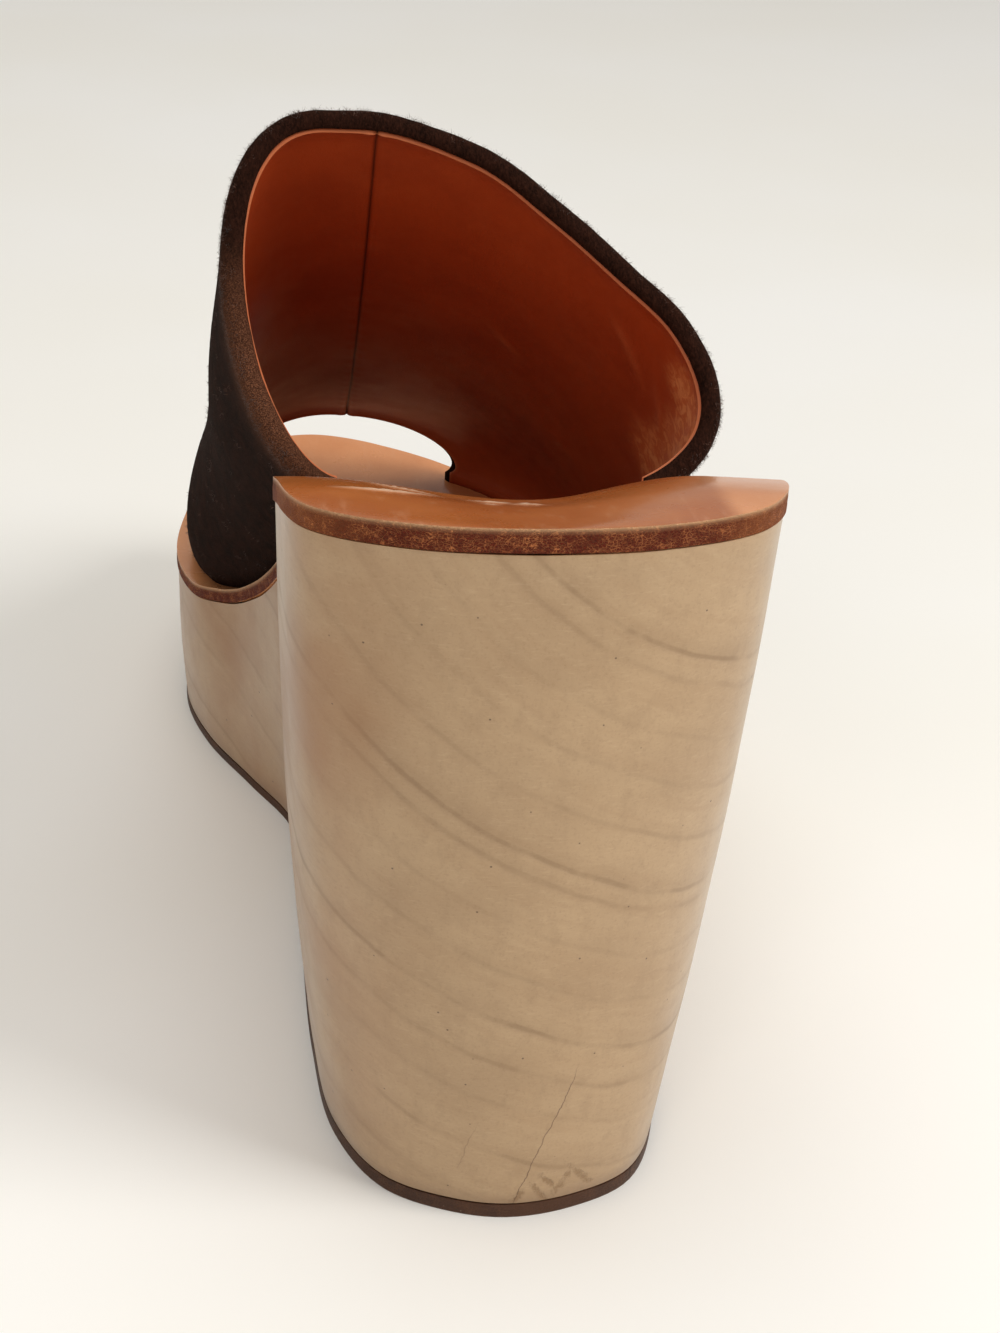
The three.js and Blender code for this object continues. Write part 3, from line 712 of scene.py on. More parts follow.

# %% [markdown]
# The insole is one thick layer of tan leather over the whole top of the wood. Its face is polished and
# glossier on the heel seat, where it is tan; at the outer side and under the toes it is painted a paler
# peach, a painted light where light reaches it past the upper. Its edge is left raw: felted fibres over
# dark red-brown, with a burnished line where edge and face meet, painted pale as a painted highlight.

# %% Insole finishes
insole_face, web, shader = finish_of("polished_leather", Coat_Roughness=0.16, Coat_IOR=1.5, IOR=1.47)
place = web.millimetres()
x, y, z = web.axis(place)
skin = use(web, grain, Place=place, Cell=0.55, Wrinkle=0.35)
wear = use(web, handling, Place=place, Smudge=20.0, Speck=2.6)
patchy = web.between(web.noise(place, 24.0, detail=4.0), 0.35, 0.65)
tan = web.mix(patchy, srgb(170, 94, 42), srgb(186, 110, 52))
lit_peach = web.mix(wear["Smudges"], srgb(222, 150, 98), srgb(210, 136, 84))
# painted light: the face is painted a paler peach at the outer side and under the toes, where light reaches
# it past the upper, against the tan seat inside the upper
slant = web.plus(x, web.times(web.noise(place, 7.0, detail=2.0), 2.0))
lit_outer_strip = web.between(slant, 28.0, 31.5)
lit_front = web.between(y, -66.0, -40.0)
base = web.mix(web.most(lit_outer_strip, lit_front), tan, lit_peach)
lane = web.noise(web.stretched(place, (1.0, 0.18, 1.0), turn=(0, 0, 0.12)), 2.2, detail=4.0)
base = web.mix(web.between(lane, 0.55, 0.8, 0.0, 0.25), base, srgb(226, 172, 132))
# painted highlight: near-white along the seat's creases and wrinkles, where their ridges catch the light
base = web.mix(web.times(web.read("crease_highlight"), 0.9), base, srgb(252, 220, 188))
# painted highlight: the face is painted paler where it rounds over into the edge
base = web.mix(web.times(web.read("rim"), 0.6), base, srgb(226, 160, 108))
base = web.mix(web.times(skin["Pores"], 0.25), base, srgb(96, 48, 24))
web.link(base, shader["Base Color"])
web.link(web.between(wear["Smudges"], 0.0, 1.0, 0.26, 0.36), shader["Roughness"])
web.link(web.minus(0.5, web.times(wear["Scuffs"], 0.3)), shader["Coat Weight"])
web.link(web.bump(skin["Height"], 0.028), shader["Normal"])

insole_edge, web, shader = finish_of("raw_leather_edge", Specular_IOR_Level=0.15)
place = web.millimetres()
x, y, z = web.axis(place)
cut = use(web, fibres, Place=place, Thread=0.5, Dark=srgb(114, 32, 10), Pale=srgb(208, 128, 76), Amount=0.42)
ends = web.most(web.between(x, -30.0, -16.0, 1.0, 0.0), web.between(x, 24.0, 34.0))
lighter = web.times(ends, web.between(y, -90.0, -80.0, 0.34, 0.0))
base = web.mix(lighter, cut["Color"], srgb(196, 118, 62))
# painted highlight: the burnished top of the raw edge is painted near-white; the burnish itself is its lower
# roughness
base = web.mix(web.times(web.read("rim"), 0.9), base, srgb(250, 196, 146))
web.link(base, shader["Base Color"])
web.link(web.between(web.read("rim"), 0.0, 1.0, 0.66, 0.3), shader["Roughness"])
web.link(web.bump(cut["Height"], 0.36), shader["Normal"])

# %% [markdown]
# The rim's raw band gets real relief as well as bump, because the camera looks straight at it. Two
# creases cross the inner side of the seat's crest and a small bunch of wrinkles lies in its hollow: they
# are listed as soft ridges, and a near-white painted highlight runs along each of them.

# %% Insole
def cloudy(places, size, seed):
    """Smooth noise between -1 and 1 from a few crossing waves, the same on each run."""
    rng = np.random.default_rng(seed)
    total = np.zeros(len(places))
    for k in range(14):
        direction = rng.normal(size=3)
        direction /= np.linalg.norm(direction)
        period = size * 2 ** rng.uniform(-1.2, 0.6)
        total += np.sin(places @ direction * 2 * math.pi / period + rng.uniform(0, 6.28)) * period / size
    return total / 7


def frame_line(points):
    """A line drawn over the footbed from places of the frame, seen from above."""
    flat = np.array(points, float) - SHIFT[:2]
    return np.concatenate([flat, footbed(flat[:, 0], flat[:, 1])[:, None]], 1) + SHIFT


SEAT_CREASES = (
    ([(-23.5, -93.4), (-18.3, -93.1), (-13.3, -92.4), (-8.5, -90.3)], 0.5, 0.34),
    ([(-19.0, -82.0), (-15.4, -85.0), (-11.3, -87.2), (-8.2, -89.7)], 0.46, 0.32),
    ([(-5.5, -90.8), (-2.6, -92.4), (-0.2, -92.2), (1.6, -90.2)], 0.5, 0.34),
    ([(0.6, -93.4), (3.2, -92.2), (6.0, -92.8)], 0.44, 0.28),
    ([(2.2, -88.6), (4.6, -87.4)], 0.42, 0.22),
    ([(-3.4, -94.8), (-1.2, -95.6)], 0.4, 0.18),
)

INSOLE_GRID = (96, 400)
between = [(1, 0, layer(insole_under, footbed, share)) for share in np.linspace(0.15, 0.85, 6)]
bm = slab([(1, 0, insole_under), *between, (1, 0, footbed)], INSOLE_GRID)
print("rounded", round_edges(bm, 0.42, 3), "edges of the insole")
insole = piece_from(bm, "insole_leather", [insole_face, insole_edge], "insole")
places, normals = spots(insole)
local = places - SHIFT
thick = insole_thick(local[:, 1])
top = footbed(local[:, 0], local[:, 1])
below = (top - local[:, 2]) / sheet_drop(local[:, 0], local[:, 1], thick)
on_edge = np.abs(normals[:, 2]) < 0.75
band = np.clip(np.minimum(below, 1 - below) * 4, 0, 1) * on_edge
rough = cloudy(places, 1.1, 3) * 0.55 + cloudy(places, 2.8, 5) * 0.45
places = places + normals * (0.09 * rough * band)[:, None]
# the crease mask carries a painted highlight along each crease; the ridges themselves are lifted below
crease_highlight = np.zeros(len(places))
for line, width, rise in SEAT_CREASES:
    off, along = to_line(places, frame_line(line))
    taper = np.sin(math.pi * np.clip(along * 0.9 + 0.05, 0, 1))
    mark = np.exp(-((off / width) ** 2)) * taper
    crease_highlight = np.maximum(crease_highlight, mark)
    places[:, 2] += rise * mark
places[:, 2] += cloudy(places, 16.0, 9) * 0.09 * (below < 0.1)
move(insole, places)
note(insole, "crease_highlight", crease_highlight)
# the rim mask marks the burnished line along the top of the edge, which the finishes paint pale as a painted
# highlight
note(insole, "rim", np.exp(-((below * thick / 0.42) ** 2)) * (on_edge | (below > 0.004)))

# %% [markdown]
# The upper is one broad band that stands on the insole at both sides and is open at the heel, at the toe
# and underneath. Cross sections from the collar to the toe opening give its shape: each is a soft curve
# from the inner foot over the ridge to the outer foot. Suede outside and lining inside are two leathers, so
# they are two pieces here. The suede is folded over at both edges and the lining's cut edge lies just
# inside the fold. Worn-in suede doesn't keep an even line: a small table pushes the collar out at its
# shoulder and in beyond it.

# %% Lines of the upper
INSTEP_RISE = 78.0
WALL, COLLAR_WALL, PEEP_WALL = 2.3, 3.9, 3.1
COLLAR_ROLL, PEEP_ROLL = 6.5, 5.0
HANDLE_ADVANCE = 1 / 3
SECTIONS = {
    "at": [0, 0.25, 0.5, 0.75, 1],
    "innerFoot": [0.32, 0.458, 0.6, 0.742, 0.885],
    "outerFoot": [0.32, 0.458, 0.6, 0.765, 0.929],
    "ridgeAlong": [0.48, 0.591, 0.702, 0.813, 0.92],
    "ridge": [-0.25, -0.227, -0.205, -0.182, -0.155],
    "top": [1, 0.745, 0.522, 0.322, 0.161],
    "innerMargin": [7, 4.5, 4, 3.8, 4.6],
    "outerMargin": [8.5, 4.5, 3.8, 4, 4],
    "innerSwell": [0.185, 0.29, 0.25, 0.06, 0.04],
    "outerSwell": [0.427, 0.3, 0.18, 0.075, 0.07],
    "innerShoulder": [0.31, 0.28, 0.265, 0.25, 0.186],
    "outerShoulder": [0.37, 0.39, 0.42, 0.39, 0.235],
    "innerLift": [0, 0.05, 0.08, 0.15, 0.36],
    "outerLift": [0.24, 0.17, 0.1, 0.15, 0.32],
}
COLLAR_EASE = {
    "at": [0, 0.5, 0.56, 0.62, 0.68, 0.74, 0.8, 0.87, 0.95, 1],
    "push": [0, 0, 0.95, 1, -0.75, -1.45, -0.45, -0.5, -0.45, 0],
}
COLLAR_MIDDLE, EASE_FADE = np.array([2.0, 98.0]), 0.45
line_of = {name: column(SECTIONS, "at", name) for name in SECTIONS if name != "at"}
collar_ease = column(COLLAR_EASE, "at", "push")
ridge_y = line_of["ridgeAlong"](0.0) * SOLE_LENGTH
ridge_x = line_of["ridge"](0.0) * BALL_WIDTH
instep_top = footbed(ridge_x, ridge_y) + INSTEP_RISE


def foot_on(side, along, margin):
    """Where a side of the upper stands on the insole."""
    point, out = on_side(rim, side, share_at(rim, side, along * SOLE_LENGTH))
    flat = point - out * margin[..., None]
    return np.concatenate([flat, (footbed(flat[..., 0], flat[..., 1]) + GAP)[..., None]], -1)


def upper_face(u, v):
    """Outer face: u from collar (0) to toe opening (1), v from inner foot (0) to outer foot (1)."""
    u, v = np.broadcast_arrays(np.asarray(u, float), np.asarray(v, float))
    top = np.stack([line_of["ridge"](u) * BALL_WIDTH, line_of["ridgeAlong"](u) * SOLE_LENGTH,
                    PLATFORM + line_of["top"](u) * (instep_top - PLATFORM)], -1)
    halves = []
    for side, sign in (("inner", -1), ("outer", 1)):
        foot = foot_on(side, line_of[side + "Foot"](u), line_of[side + "Margin"](u))
        low, high = foot.copy(), top.copy()
        low[..., 0] += sign * line_of[side + "Swell"](u) * BALL_WIDTH
        low[..., 1] += (top[..., 1] - foot[..., 1]) * HANDLE_ADVANCE
        low[..., 2] += (top[..., 2] - foot[..., 2]) * line_of[side + "Lift"](u)
        high[..., 0] += sign * line_of[side + "Shoulder"](u) * BALL_WIDTH
        t = (v * 2 if sign < 0 else 2 - v * 2)[..., None]
        s = 1 - t
        halves.append(foot * s**3 + low * 3 * s * s * t + high * 3 * s * t * t + top * t**3)
    places = np.where((v < 0.5)[..., None], halves[0], halves[1])
    away = places[..., [0, 2]] - COLLAR_MIDDLE
    near = np.clip(u / EASE_FADE, 0, 1)
    push = collar_ease(v) * (1 - near * near * (3 - 2 * near)) / np.linalg.norm(away, axis=-1)
    return places + np.stack([away[..., 0] * push, 0 * push, away[..., 1] * push], -1)


def upper_out(u, v, step=0.004):
    """Unit direction out of the upper's outer face."""
    u0, u1 = np.clip(u - step, 0, 1), np.clip(u + step, 0, 1)
    v0, v1 = np.clip(v - step, 0, 1), np.clip(v + step, 0, 1)
    out = np.cross(upper_face(u, v1) - upper_face(u, v0), upper_face(u1, v) - upper_face(u0, v))
    return out / np.linalg.norm(out, axis=-1)[..., None]


BAND_LENGTH = float(np.linalg.norm(upper_face(0, 0.5) - upper_face(1, 0.5)))
AROUND_LENGTH = float(np.linalg.norm(np.diff(upper_face(0, np.linspace(0, 1, 200)), axis=0), axis=1).sum())
print("the band is", round(BAND_LENGTH), "mm long, and", round(AROUND_LENGTH), "mm round its collar")


def wall_at(from_collar):
    """Thickness of suede and lining together at a distance from the collar's edge."""
    from_peep = BAND_LENGTH - from_collar
    thick = np.full_like(from_collar, WALL)
    for away, roll, edge in ((from_collar, COLLAR_ROLL, COLLAR_WALL), (from_peep, PEEP_ROLL, PEEP_WALL)):
        step = np.clip(away / roll, 0, 1)
        thick = np.where(step < 1, edge + (WALL - edge) * step * step * (3 - 2 * step), thick)
    return thick


def on_insole(places, sink):
    """Keeps places above the insole, or sinks them a little into it."""
    low = footbed(places[..., 0], places[..., 1]) - sink
    places[..., 2] = np.maximum(places[..., 2], low)
    return places


def band_skin(bm, rows, v):
    """A band from rows of (distance from the collar, depth below the outer face), walked as one loop."""
    away = np.array([row[0] for row in rows])[:, None]
    depth = np.array([row[1] for row in rows])[:, None]
    across = v + away * 0
    u = np.clip(away / BAND_LENGTH, 0, 1) + across * 0
    places = upper_face(u, across) - upper_out(u, across) * (depth + across * 0)[..., None]
    places = on_insole(places, 0.0)
    ends = []
    for k in (0, -1):
        foot = places[:, k].copy()
        foot[:, 2] = footbed(foot[:, 0], foot[:, 1]) - 0.15
        ends.append(foot)
    table = np.concatenate([ends[0][:, None], places, ends[1][:, None]], 1)
    table = np.concatenate([table, table[:1]])
    lay_grid(bm, table)
    return table


def close_band(bm):
    """Joins the loop's seam, fills the band's two feet and turns its faces outwards."""
    bmesh.ops.remove_doubles(bm, verts=bm.verts, dist=0.004 * MM)
    open_edges = [e for e in bm.edges if e.is_boundary]
    filled = bmesh.ops.holes_fill(bm, edges=open_edges, sides=0)
    bmesh.ops.triangulate(bm, faces=filled["faces"], quad_method="BEAUTY", ngon_method="BEAUTY")
    bmesh.ops.recalc_face_normals(bm, faces=bm.faces)


def fold_line(u, edge_wall, count):
    """The middle of a folded edge, as a line of points in the frame."""
    v = np.linspace(0, 1, count)
    return upper_face(u, v) - upper_out(u, v) * edge_wall / 2 + SHIFT


def above_insole(places):
    """Height over the insole of places in the frame."""
    return places[:, 2] - SHIFT[2] - footbed(places[:, 0] - SHIFT[0], places[:, 1] - SHIFT[1])


def creased(places, creases, start):
    """For each crease its rise, and a mark that is 1 on its line and fades at its width and its ends."""
    for line, width, rise in creases:
        off, along = to_line(places, line)
        yield rise, np.exp(-((off / width) ** 2)) * np.sin(math.pi * np.clip(along, start, 1 - start))


COLLAR_LINE = fold_line(0.0, COLLAR_WALL, 120)
PEEP_LINE = fold_line(1.0, PEEP_WALL, 90)

# %% [markdown]
# Suede is split leather with a brushed nap: nearly black where it lies away from the light, warm brown
# where it catches it, and never glossy. On the folded edges the nap is rubbed shorter and lighter. Relief
# on two scales, tufts and single fibres, breaks the surface up, and a weak sheen lights its outline.

# %% Suede finish
suede, web, shader = finish_of("brushed_suede", Roughness=0.95, Sheen_Weight=0.05, Sheen_Roughness=0.5,
                               Sheen_Tint=(0.34, 0.17, 0.1, 1.0), Specular_IOR_Level=0.05)
place = web.millimetres()
brushed = web.stretched(place, (1.0, 0.42, 0.42), turn=(0.2, 0.5, 0.3))
tufts = web.noise(brushed, 1.5, detail=4.0, rough=0.62)
threads = web.noise(brushed, 0.34, detail=4.0, rough=0.7)
strokes = web.noise(place, 13.0, detail=4.0, rough=0.55, lift=0.8)
dots = web.cells(place, 0.42)
base = web.mix(web.between(tufts, 0.3, 0.7), srgb(14, 5, 3), srgb(34, 16, 10))
base = web.mix(web.between(threads, 0.54, 0.8, 0.0, 0.5), base, srgb(72, 42, 30))
base = web.mix(web.between(strokes, 0.45, 0.7, 0.0, 0.4), base, srgb(34, 18, 13))
base = web.mix(web.times(web.read("fold"), web.between(threads, 0.34, 0.66, 0.05, 0.5)), base,
               srgb(60, 34, 24))
speckle = web.noise(place, 0.16, detail=2.0, rough=0.6)
base = web.mix(web.times(web.read("worn"), web.between(speckle, 0.42, 0.66, 0.12, 0.85)), base,
               srgb(134, 88, 64))
web.link(base, shader["Base Color"])
nap = web.plus(web.times(tufts, 0.9), threads)
nap = web.minus(nap, web.times(web.between(dots, 0.0, 0.5, 1.0, 0.0), 0.35))
web.link(web.bump(nap, 0.34), shader["Normal"])

# %% [markdown]
# The suede band: a grid walks from the folded collar over the outer face to the folded toe edge, round it,
# and back on the inner side, where it dips to leave room for the lining.

# %% Suede band
LINING_THICK = 0.95
LINING_EDGE = 1.75


def folded(away, roll_wall):
    """How full a folded edge is at a distance from its tip: a half circle."""
    bend = np.clip(1 - away / (roll_wall / 2), 0, 1)
    return np.sqrt(1 - bend * bend)


def fold_steps(roll_wall):
    """Distances from the tip that walk evenly round the half circle, then fade into the band."""
    turn = np.linspace(0, math.pi / 2, 8)
    return np.concatenate([(1 - np.cos(turn)) * roll_wall / 2, [2.4, 2.9, 3.6, 4.5, 5.5, 6.6]])


collar_steps = fold_steps(COLLAR_WALL)
peep_steps = BAND_LENGTH - fold_steps(PEEP_WALL)[::-1]
between_steps = np.linspace(collar_steps[-1], peep_steps[0], 86)[1:-1]
away = np.concatenate([collar_steps, between_steps, peep_steps])
wall = wall_at(away)
to_edge = np.minimum(away, BAND_LENGTH - away)
fullness = np.minimum(folded(away, COLLAR_WALL), folded(BAND_LENGTH - away, PEEP_WALL))
dip = np.clip((to_edge - 1.0) / 0.85, 0, 1)
dip = (LINING_THICK + 0.07) * dip * dip * (3 - 2 * dip)
outer_rows = list(zip(away, wall / 2 * (1 - fullness)))
inner_pick = np.r_[0:16, 18:len(away) - 16:5, len(away) - 16:len(away)]
inner_rows = [(away[k], wall[k] / 2 * (1 + fullness[k]) - dip[k]) for k in inner_pick[::-1]]

bm = bmesh.new()
band_skin(bm, outer_rows + inner_rows[1:-1], np.linspace(0, 1, 281))
close_band(bm)
band = piece_from(bm, "suede_band", [suede], "upper")

places, normals = spots(band)
near_fold = np.minimum(to_line(places, COLLAR_LINE)[0], to_line(places, PEEP_LINE)[0])
fold = np.exp(-((np.maximum(near_fold - 2.0, 0) / 1.6) ** 2))
free = np.clip((above_insole(places) - 0.4) / 3, 0, 1)
lumps = cloudy(places, 5.0, 21) * 0.07 * fold
lumps += cloudy(places, 24.0, 22) * 0.22 + cloudy(places, 2.2, 23) * 0.03
BAND_CREASES = (
    ([(-30, 58, 62), (-20, 57, 75), (-6, 56, 78)], 3.4, -0.35),
    ([(-36, 44, 56), (-27, 45, 78), (-14, 44, 87)], 4.2, -0.3),
    ([(12, 66, 66), (24, 62, 55), (32, 58, 44)], 3.0, -0.3),
    ([(-40, -2, 62), (-41, 12, 58), (-41, 26, 50)], 3.6, -0.3),
)
for rise, mark in creased(places, BAND_CREASES, 0.08):
    lumps += rise * mark
move(band, places + normals * (lumps * free)[:, None])
note(band, "fold", fold)
print("suede box in mm:", places.min(0).round(1), places.max(0).round(1))
WORN_ROLL = [(-34.6, -18.6, 115.5), (-34.3, -23, 108.4), (-31.9, -27.7, 101.5), (-27.2, -32.5, 96.1),
             (-21.9, -36.9, 92.9)]
off, along = to_line(places, WORN_ROLL)
note(band, "worn", np.exp(-((off / 5.5) ** 2)) * (0.6 + 0.4 * np.sin(math.pi * along)))

# %% [markdown]
# The lining is smooth russet leather, just under a millimetre thick. Its edge is cut, not folded, so it
# shows a thin pale line all round. Two pieces are joined by a sunk seam that runs from the collar to the
# toe opening a little outside the ridge, puckered by its stitches, and the leather is rubbed pale low on
# the outer side.

# %% Lining finish
lining_finish, web, shader = finish_of("russet_lining", Coat_Roughness=0.3, Coat_IOR=1.45,
                                       Specular_IOR_Level=0.24)
place = web.millimetres()
skin = use(web, grain, Place=place, Cell=0.5, Wrinkle=0.4)
wear = use(web, handling, Place=place, Smudge=24.0, Speck=3.0)
base = web.mix(wear["Smudges"], srgb(168, 68, 29), srgb(154, 60, 25))
cloud = web.noise(place, 11.0, detail=5.0, rough=0.6)
base = web.mix(web.between(cloud, 0.5, 0.75, 0.0, 0.25), base, srgb(184, 84, 42))
base = web.mix(web.times(skin["Pores"], 0.4), base, srgb(92, 34, 16))
# painted highlight: the lining is painted lighter along its creases, where their ridges catch the light
base = web.mix(web.times(web.read("crease_highlight"), 0.4), base, srgb(214, 120, 74))
leaning = web.stretched(place, (1.0, 1.0, 0.8), turn=(0.5, 0, 0))
crinkled = web.noise(leaning, 2.4, detail=6.0, rough=0.62, lift=1.2)
base = web.mix(web.times(web.read("worn"), 0.7), base, srgb(212, 118, 62))
rubbed = web.times(web.read("worn"), web.between(crinkled, 0.44, 0.6))
base = web.mix(web.times(rubbed, 0.6), base, srgb(240, 172, 114))
base = web.mix(web.times(web.read("seam"), 0.85), base, srgb(52, 16, 8))
base = web.mix(web.times(web.read("cut"), 0.8), base, srgb(208, 124, 80))
web.link(base, shader["Base Color"])
web.link(web.between(wear["Smudges"], 0.0, 1.0, 0.46, 0.58), shader["Roughness"])
web.link(web.minus(0.1, web.times(rubbed, 0.1)), shader["Coat Weight"])
relief = web.plus(skin["Height"], web.times(rubbed, web.noise(place, 0.8, detail=4.0)))
web.link(web.bump(relief, 0.035), shader["Normal"])

# %% Lining
SEAM_FROM, SEAM_TO = np.array([-12.2, -7.0]), np.array([-8.8, 90.5])
SEAM_AT = 0.53


def seam_offset(places):
    """Distance across the shoe from the seam of the lining, in the frame."""
    lean = (SEAM_TO[0] - SEAM_FROM[0]) / (SEAM_TO[1] - SEAM_FROM[1])
    return places[..., 0] - SEAM_FROM[0] - (places[..., 1] - SEAM_FROM[1]) * lean


def along_seam(away, columns):
    """Shares round the band for each row, bent so that one column runs down the seam."""
    tried = np.linspace(0.46, 0.66, 120)
    u = np.clip(away / BAND_LENGTH, 0, 1)[:, None]
    off = seam_offset(upper_face(u, tried[None]) + SHIFT)
    found = np.array([np.interp(0.0, row, tried) for row in off])
    pull = np.minimum(columns / SEAM_AT, (1 - columns) / (1 - SEAM_AT))
    return columns[None] + (found - SEAM_AT)[:, None] * pull[None]


fine = np.array([0.12, 0.25, 0.4, 0.6, 0.85, 1.2, 1.7]) / AROUND_LENGTH
columns = np.unique(np.concatenate([np.linspace(0, 1, 261), SEAM_AT + fine, SEAM_AT - fine, [SEAM_AT]]))
columns = columns[np.concatenate([[True], np.diff(columns) > 0.08 / AROUND_LENGTH])]
inner_away = np.concatenate([LINING_EDGE + np.array([0, 0.25, 0.6, 1.1, 1.8, 2.7]),
                             np.linspace(LINING_EDGE + 3.8, BAND_LENGTH - 5.0, 92),
                             BAND_LENGTH - 1.3 - np.array([2.7, 1.8, 1.1, 0.6, 0.25, 0])])
outer_away = np.concatenate([inner_away[-1:], np.linspace(BAND_LENGTH - 6, 7, 16), inner_away[:1]])
bead = 0.2 * np.exp(-((np.minimum(inner_away - inner_away[0], inner_away[-1] - inner_away) / 0.4) ** 2))
rows = list(zip(inner_away, wall_at(inner_away) + 0.06 + bead))
rows += list(zip(outer_away, wall_at(outer_away) - LINING_THICK + 0.03))
bm = bmesh.new()
table = band_skin(bm, rows, along_seam(np.array([row[0] for row in rows]), columns))
close_band(bm)
lining = piece_from(bm, "lining_leather", [lining_finish], None)

places, normals = spots(lining)
off = np.abs(seam_offset(places))
near_fold = np.minimum(to_line(places, COLLAR_LINE)[0], to_line(places, PEEP_LINE)[0])
high = above_insole(places)
over_foot = (high > 12) | (off < 20)
free = np.clip((high - 0.4) / 3, 0, 1) * np.clip((near_fold - 3.2) / 4, 0, 1)
seam = np.exp(-((off / 0.3) ** 2)) * over_foot
pucker = np.sin(places[:, 1] * 2 * math.pi / 3.2) * np.exp(-(((off - 1.0) / 0.8) ** 2)) * over_foot
lift = -0.3 * seam + 0.12 * np.exp(-(((off - 1.3) / 0.7) ** 2)) * over_foot + 0.07 * pucker
LINING_CREASES = (
    ([(12.3, 25.5, 93.8), (15, 27, 90), (18.5, 28, 86.3)], 0.9, 0.28),
    ([(28.2, -7.3, 109.4), (31, -6, 102), (35.3, -3.1, 93.8)], 1.1, 0.3),
    ([(33, 8, 96), (36, 6, 88), (38, 2, 82)], 1.3, 0.25),
    ([(36.5, -8, 98), (38.5, -6, 91), (39.5, -2, 84)], 1.0, 0.3),
    ([(-24, 6, 121), (-29, 8, 108), (-33, 12, 92)], 2.4, 0.2),
    ([(20, 44, 82), (27, 42, 72), (31, 40, 62)], 1.6, 0.28),
)
# the crease mask carries the painted highlight along the lining's creases
crease_highlight = np.zeros(len(places))
for rise, mark in creased(places, LINING_CREASES, 0.06):
    crease_highlight = np.maximum(crease_highlight, mark)
    lift = lift + rise * mark * free
lift = lift + (cloudy(places, 26.0, 31) * 0.3 + cloudy(places, 7.0, 32) * 0.05) * free
WORN_PATCH = [(38.9, -18.8, 99), (39.9, -19.5, 93), (39.7, -15, 87.5), (39.5, -6, 80.5), (38.6, 2, 76)]
gap, along = to_line(places, WORN_PATCH)
worn = np.exp(-((gap / (5.2 + 2.6 * along)) ** 4))
cut_line = np.concatenate([table[0], table[len(inner_away) - 1][::-1]]) + SHIFT
gap_cut, _ = to_line(places, cut_line)
move(lining, places + normals * lift[:, None])
note(lining, "seam", np.exp(-((off / 0.22) ** 2)) * over_foot)
note(lining, "crease_highlight", crease_highlight)
note(lining, "worn", worn)
note(lining, "cut", np.exp(-((gap_cut / 0.28) ** 2)) * (high > 0.5))

# %% [markdown]
# Loose fibres stand off the suede, most of all along the folded edges, and give the band its fuzzy outline.
# One tuft of a few bent hairs is modelled, then set down many times with its own turn and size.

# %% Loose fibres of the nap
hair_finish, web, shader = finish_of("suede_fibre", Roughness=0.9, Sheen_Weight=0.2)
place = web.millimetres()
paler = web.between(web.noise(place, 3.0), 0.35, 0.65)
web.link(web.mix(paler, srgb(40, 23, 17), srgb(96, 60, 44)), shader["Base Color"])


def tuft_mesh(seed, hairs=6):
    """A few bent three-sided hairs on a spot about a millimetre across, standing on z = 0."""
    rng = np.random.default_rng(seed)
    bm = bmesh.new()
    for _ in range(hairs):
        tall = rng.uniform(0.25, 0.75) if rng.random() < 0.97 else rng.uniform(0.9, 1.6)
        first = len(bm.verts)
        made = bmesh.ops.create_cone(bm, cap_ends=False, segments=3, radius1=0.028, radius2=0.008, depth=tall)
        bmesh.ops.translate(bm, verts=made["verts"], vec=(0, 0, tall / 2))
        rails = [e for e in {e for v in made["verts"] for e in v.link_edges}
                 if abs(e.verts[0].co.z - e.verts[1].co.z) > tall / 2]
        bmesh.ops.subdivide_edges(bm, edges=rails, cuts=2)
        bm.verts.ensure_lookup_table()
        verts = bm.verts[first:]
        lean, way = rng.uniform(0.3, 1.2), rng.uniform(0, 2 * math.pi)
        for v in verts:
            bend = lean * v.co.z * (0.4 + 0.6 * v.co.z / tall)
            v.co.x += bend * math.cos(way)
            v.co.y += bend * math.sin(way)
            v.co.z *= 0.75
        bmesh.ops.translate(bm, verts=verts, vec=(rng.uniform(-0.6, 0.6), rng.uniform(-0.6, 0.6), -0.02))
    bmesh.ops.scale(bm, verts=bm.verts, vec=(MM, MM, MM))
    mesh = bpy.data.meshes.new(f"tuft_{seed}")
    bm.to_mesh(mesh)
    bm.free()
    return mesh


rng = np.random.default_rng(11)
tufts = [tuft_mesh(seed) for seed in range(8)]
on_edge, on_face = ((1050, 650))
u = np.concatenate([rng.uniform(0, 3.2, on_edge), rng.uniform(0, BAND_LENGTH, on_face)]) / BAND_LENGTH
v = rng.uniform(0.01, 0.99, len(u))
peepward = rng.random(len(u)) < 0.25
u[:on_edge] = np.where(peepward[:on_edge], 1 - u[:on_edge], u[:on_edge])
outward = upper_out(u, v)
thick = wall_at(u * BAND_LENGTH)
full = np.minimum(folded(u * BAND_LENGTH, COLLAR_WALL), folded((1 - u) * BAND_LENGTH, PEEP_WALL))
roots = upper_face(u, v) - outward * (thick / 2 * (1 - full))[:, None] + SHIFT
edgeward = upper_face(np.clip(u - 0.01, 0, 1), v) - upper_face(np.clip(u + 0.01, 0, 1), v)
edgeward /= np.linalg.norm(edgeward, axis=1)[:, None]
edgeward[u > 0.5] *= -1
standing = outward * full[:, None] + edgeward * (1 - full)[:, None]
bm = bmesh.new()
for k in range(len(u)):
    up = Vector(standing[k]).normalized()
    frame_turn = up.to_track_quat("Z", "Y").to_matrix().to_4x4()
    twist = Matrix.Rotation(rng.uniform(0, 2 * math.pi), 4, "Z")
    size = Matrix.Scale(rng.uniform(0.7, 1.25), 4)
    copy = tufts[k % len(tufts)].copy()
    copy.transform(Matrix.Translation(Vector(roots[k]) * MM) @ frame_turn @ twist @ size)
    bm.from_mesh(copy)
    bpy.data.meshes.remove(copy)
for mesh in tufts:
    bpy.data.meshes.remove(mesh)
fibres_piece = piece_from(bm, "suede_fibres", [hair_finish], None)

# %% [markdown]
# The shoe stands on a plain, pale floor under large soft lights. The camera keeps the photograph's place:
# behind the shoe, a little to its inner side and above it. There it is turned to look at this one shoe.

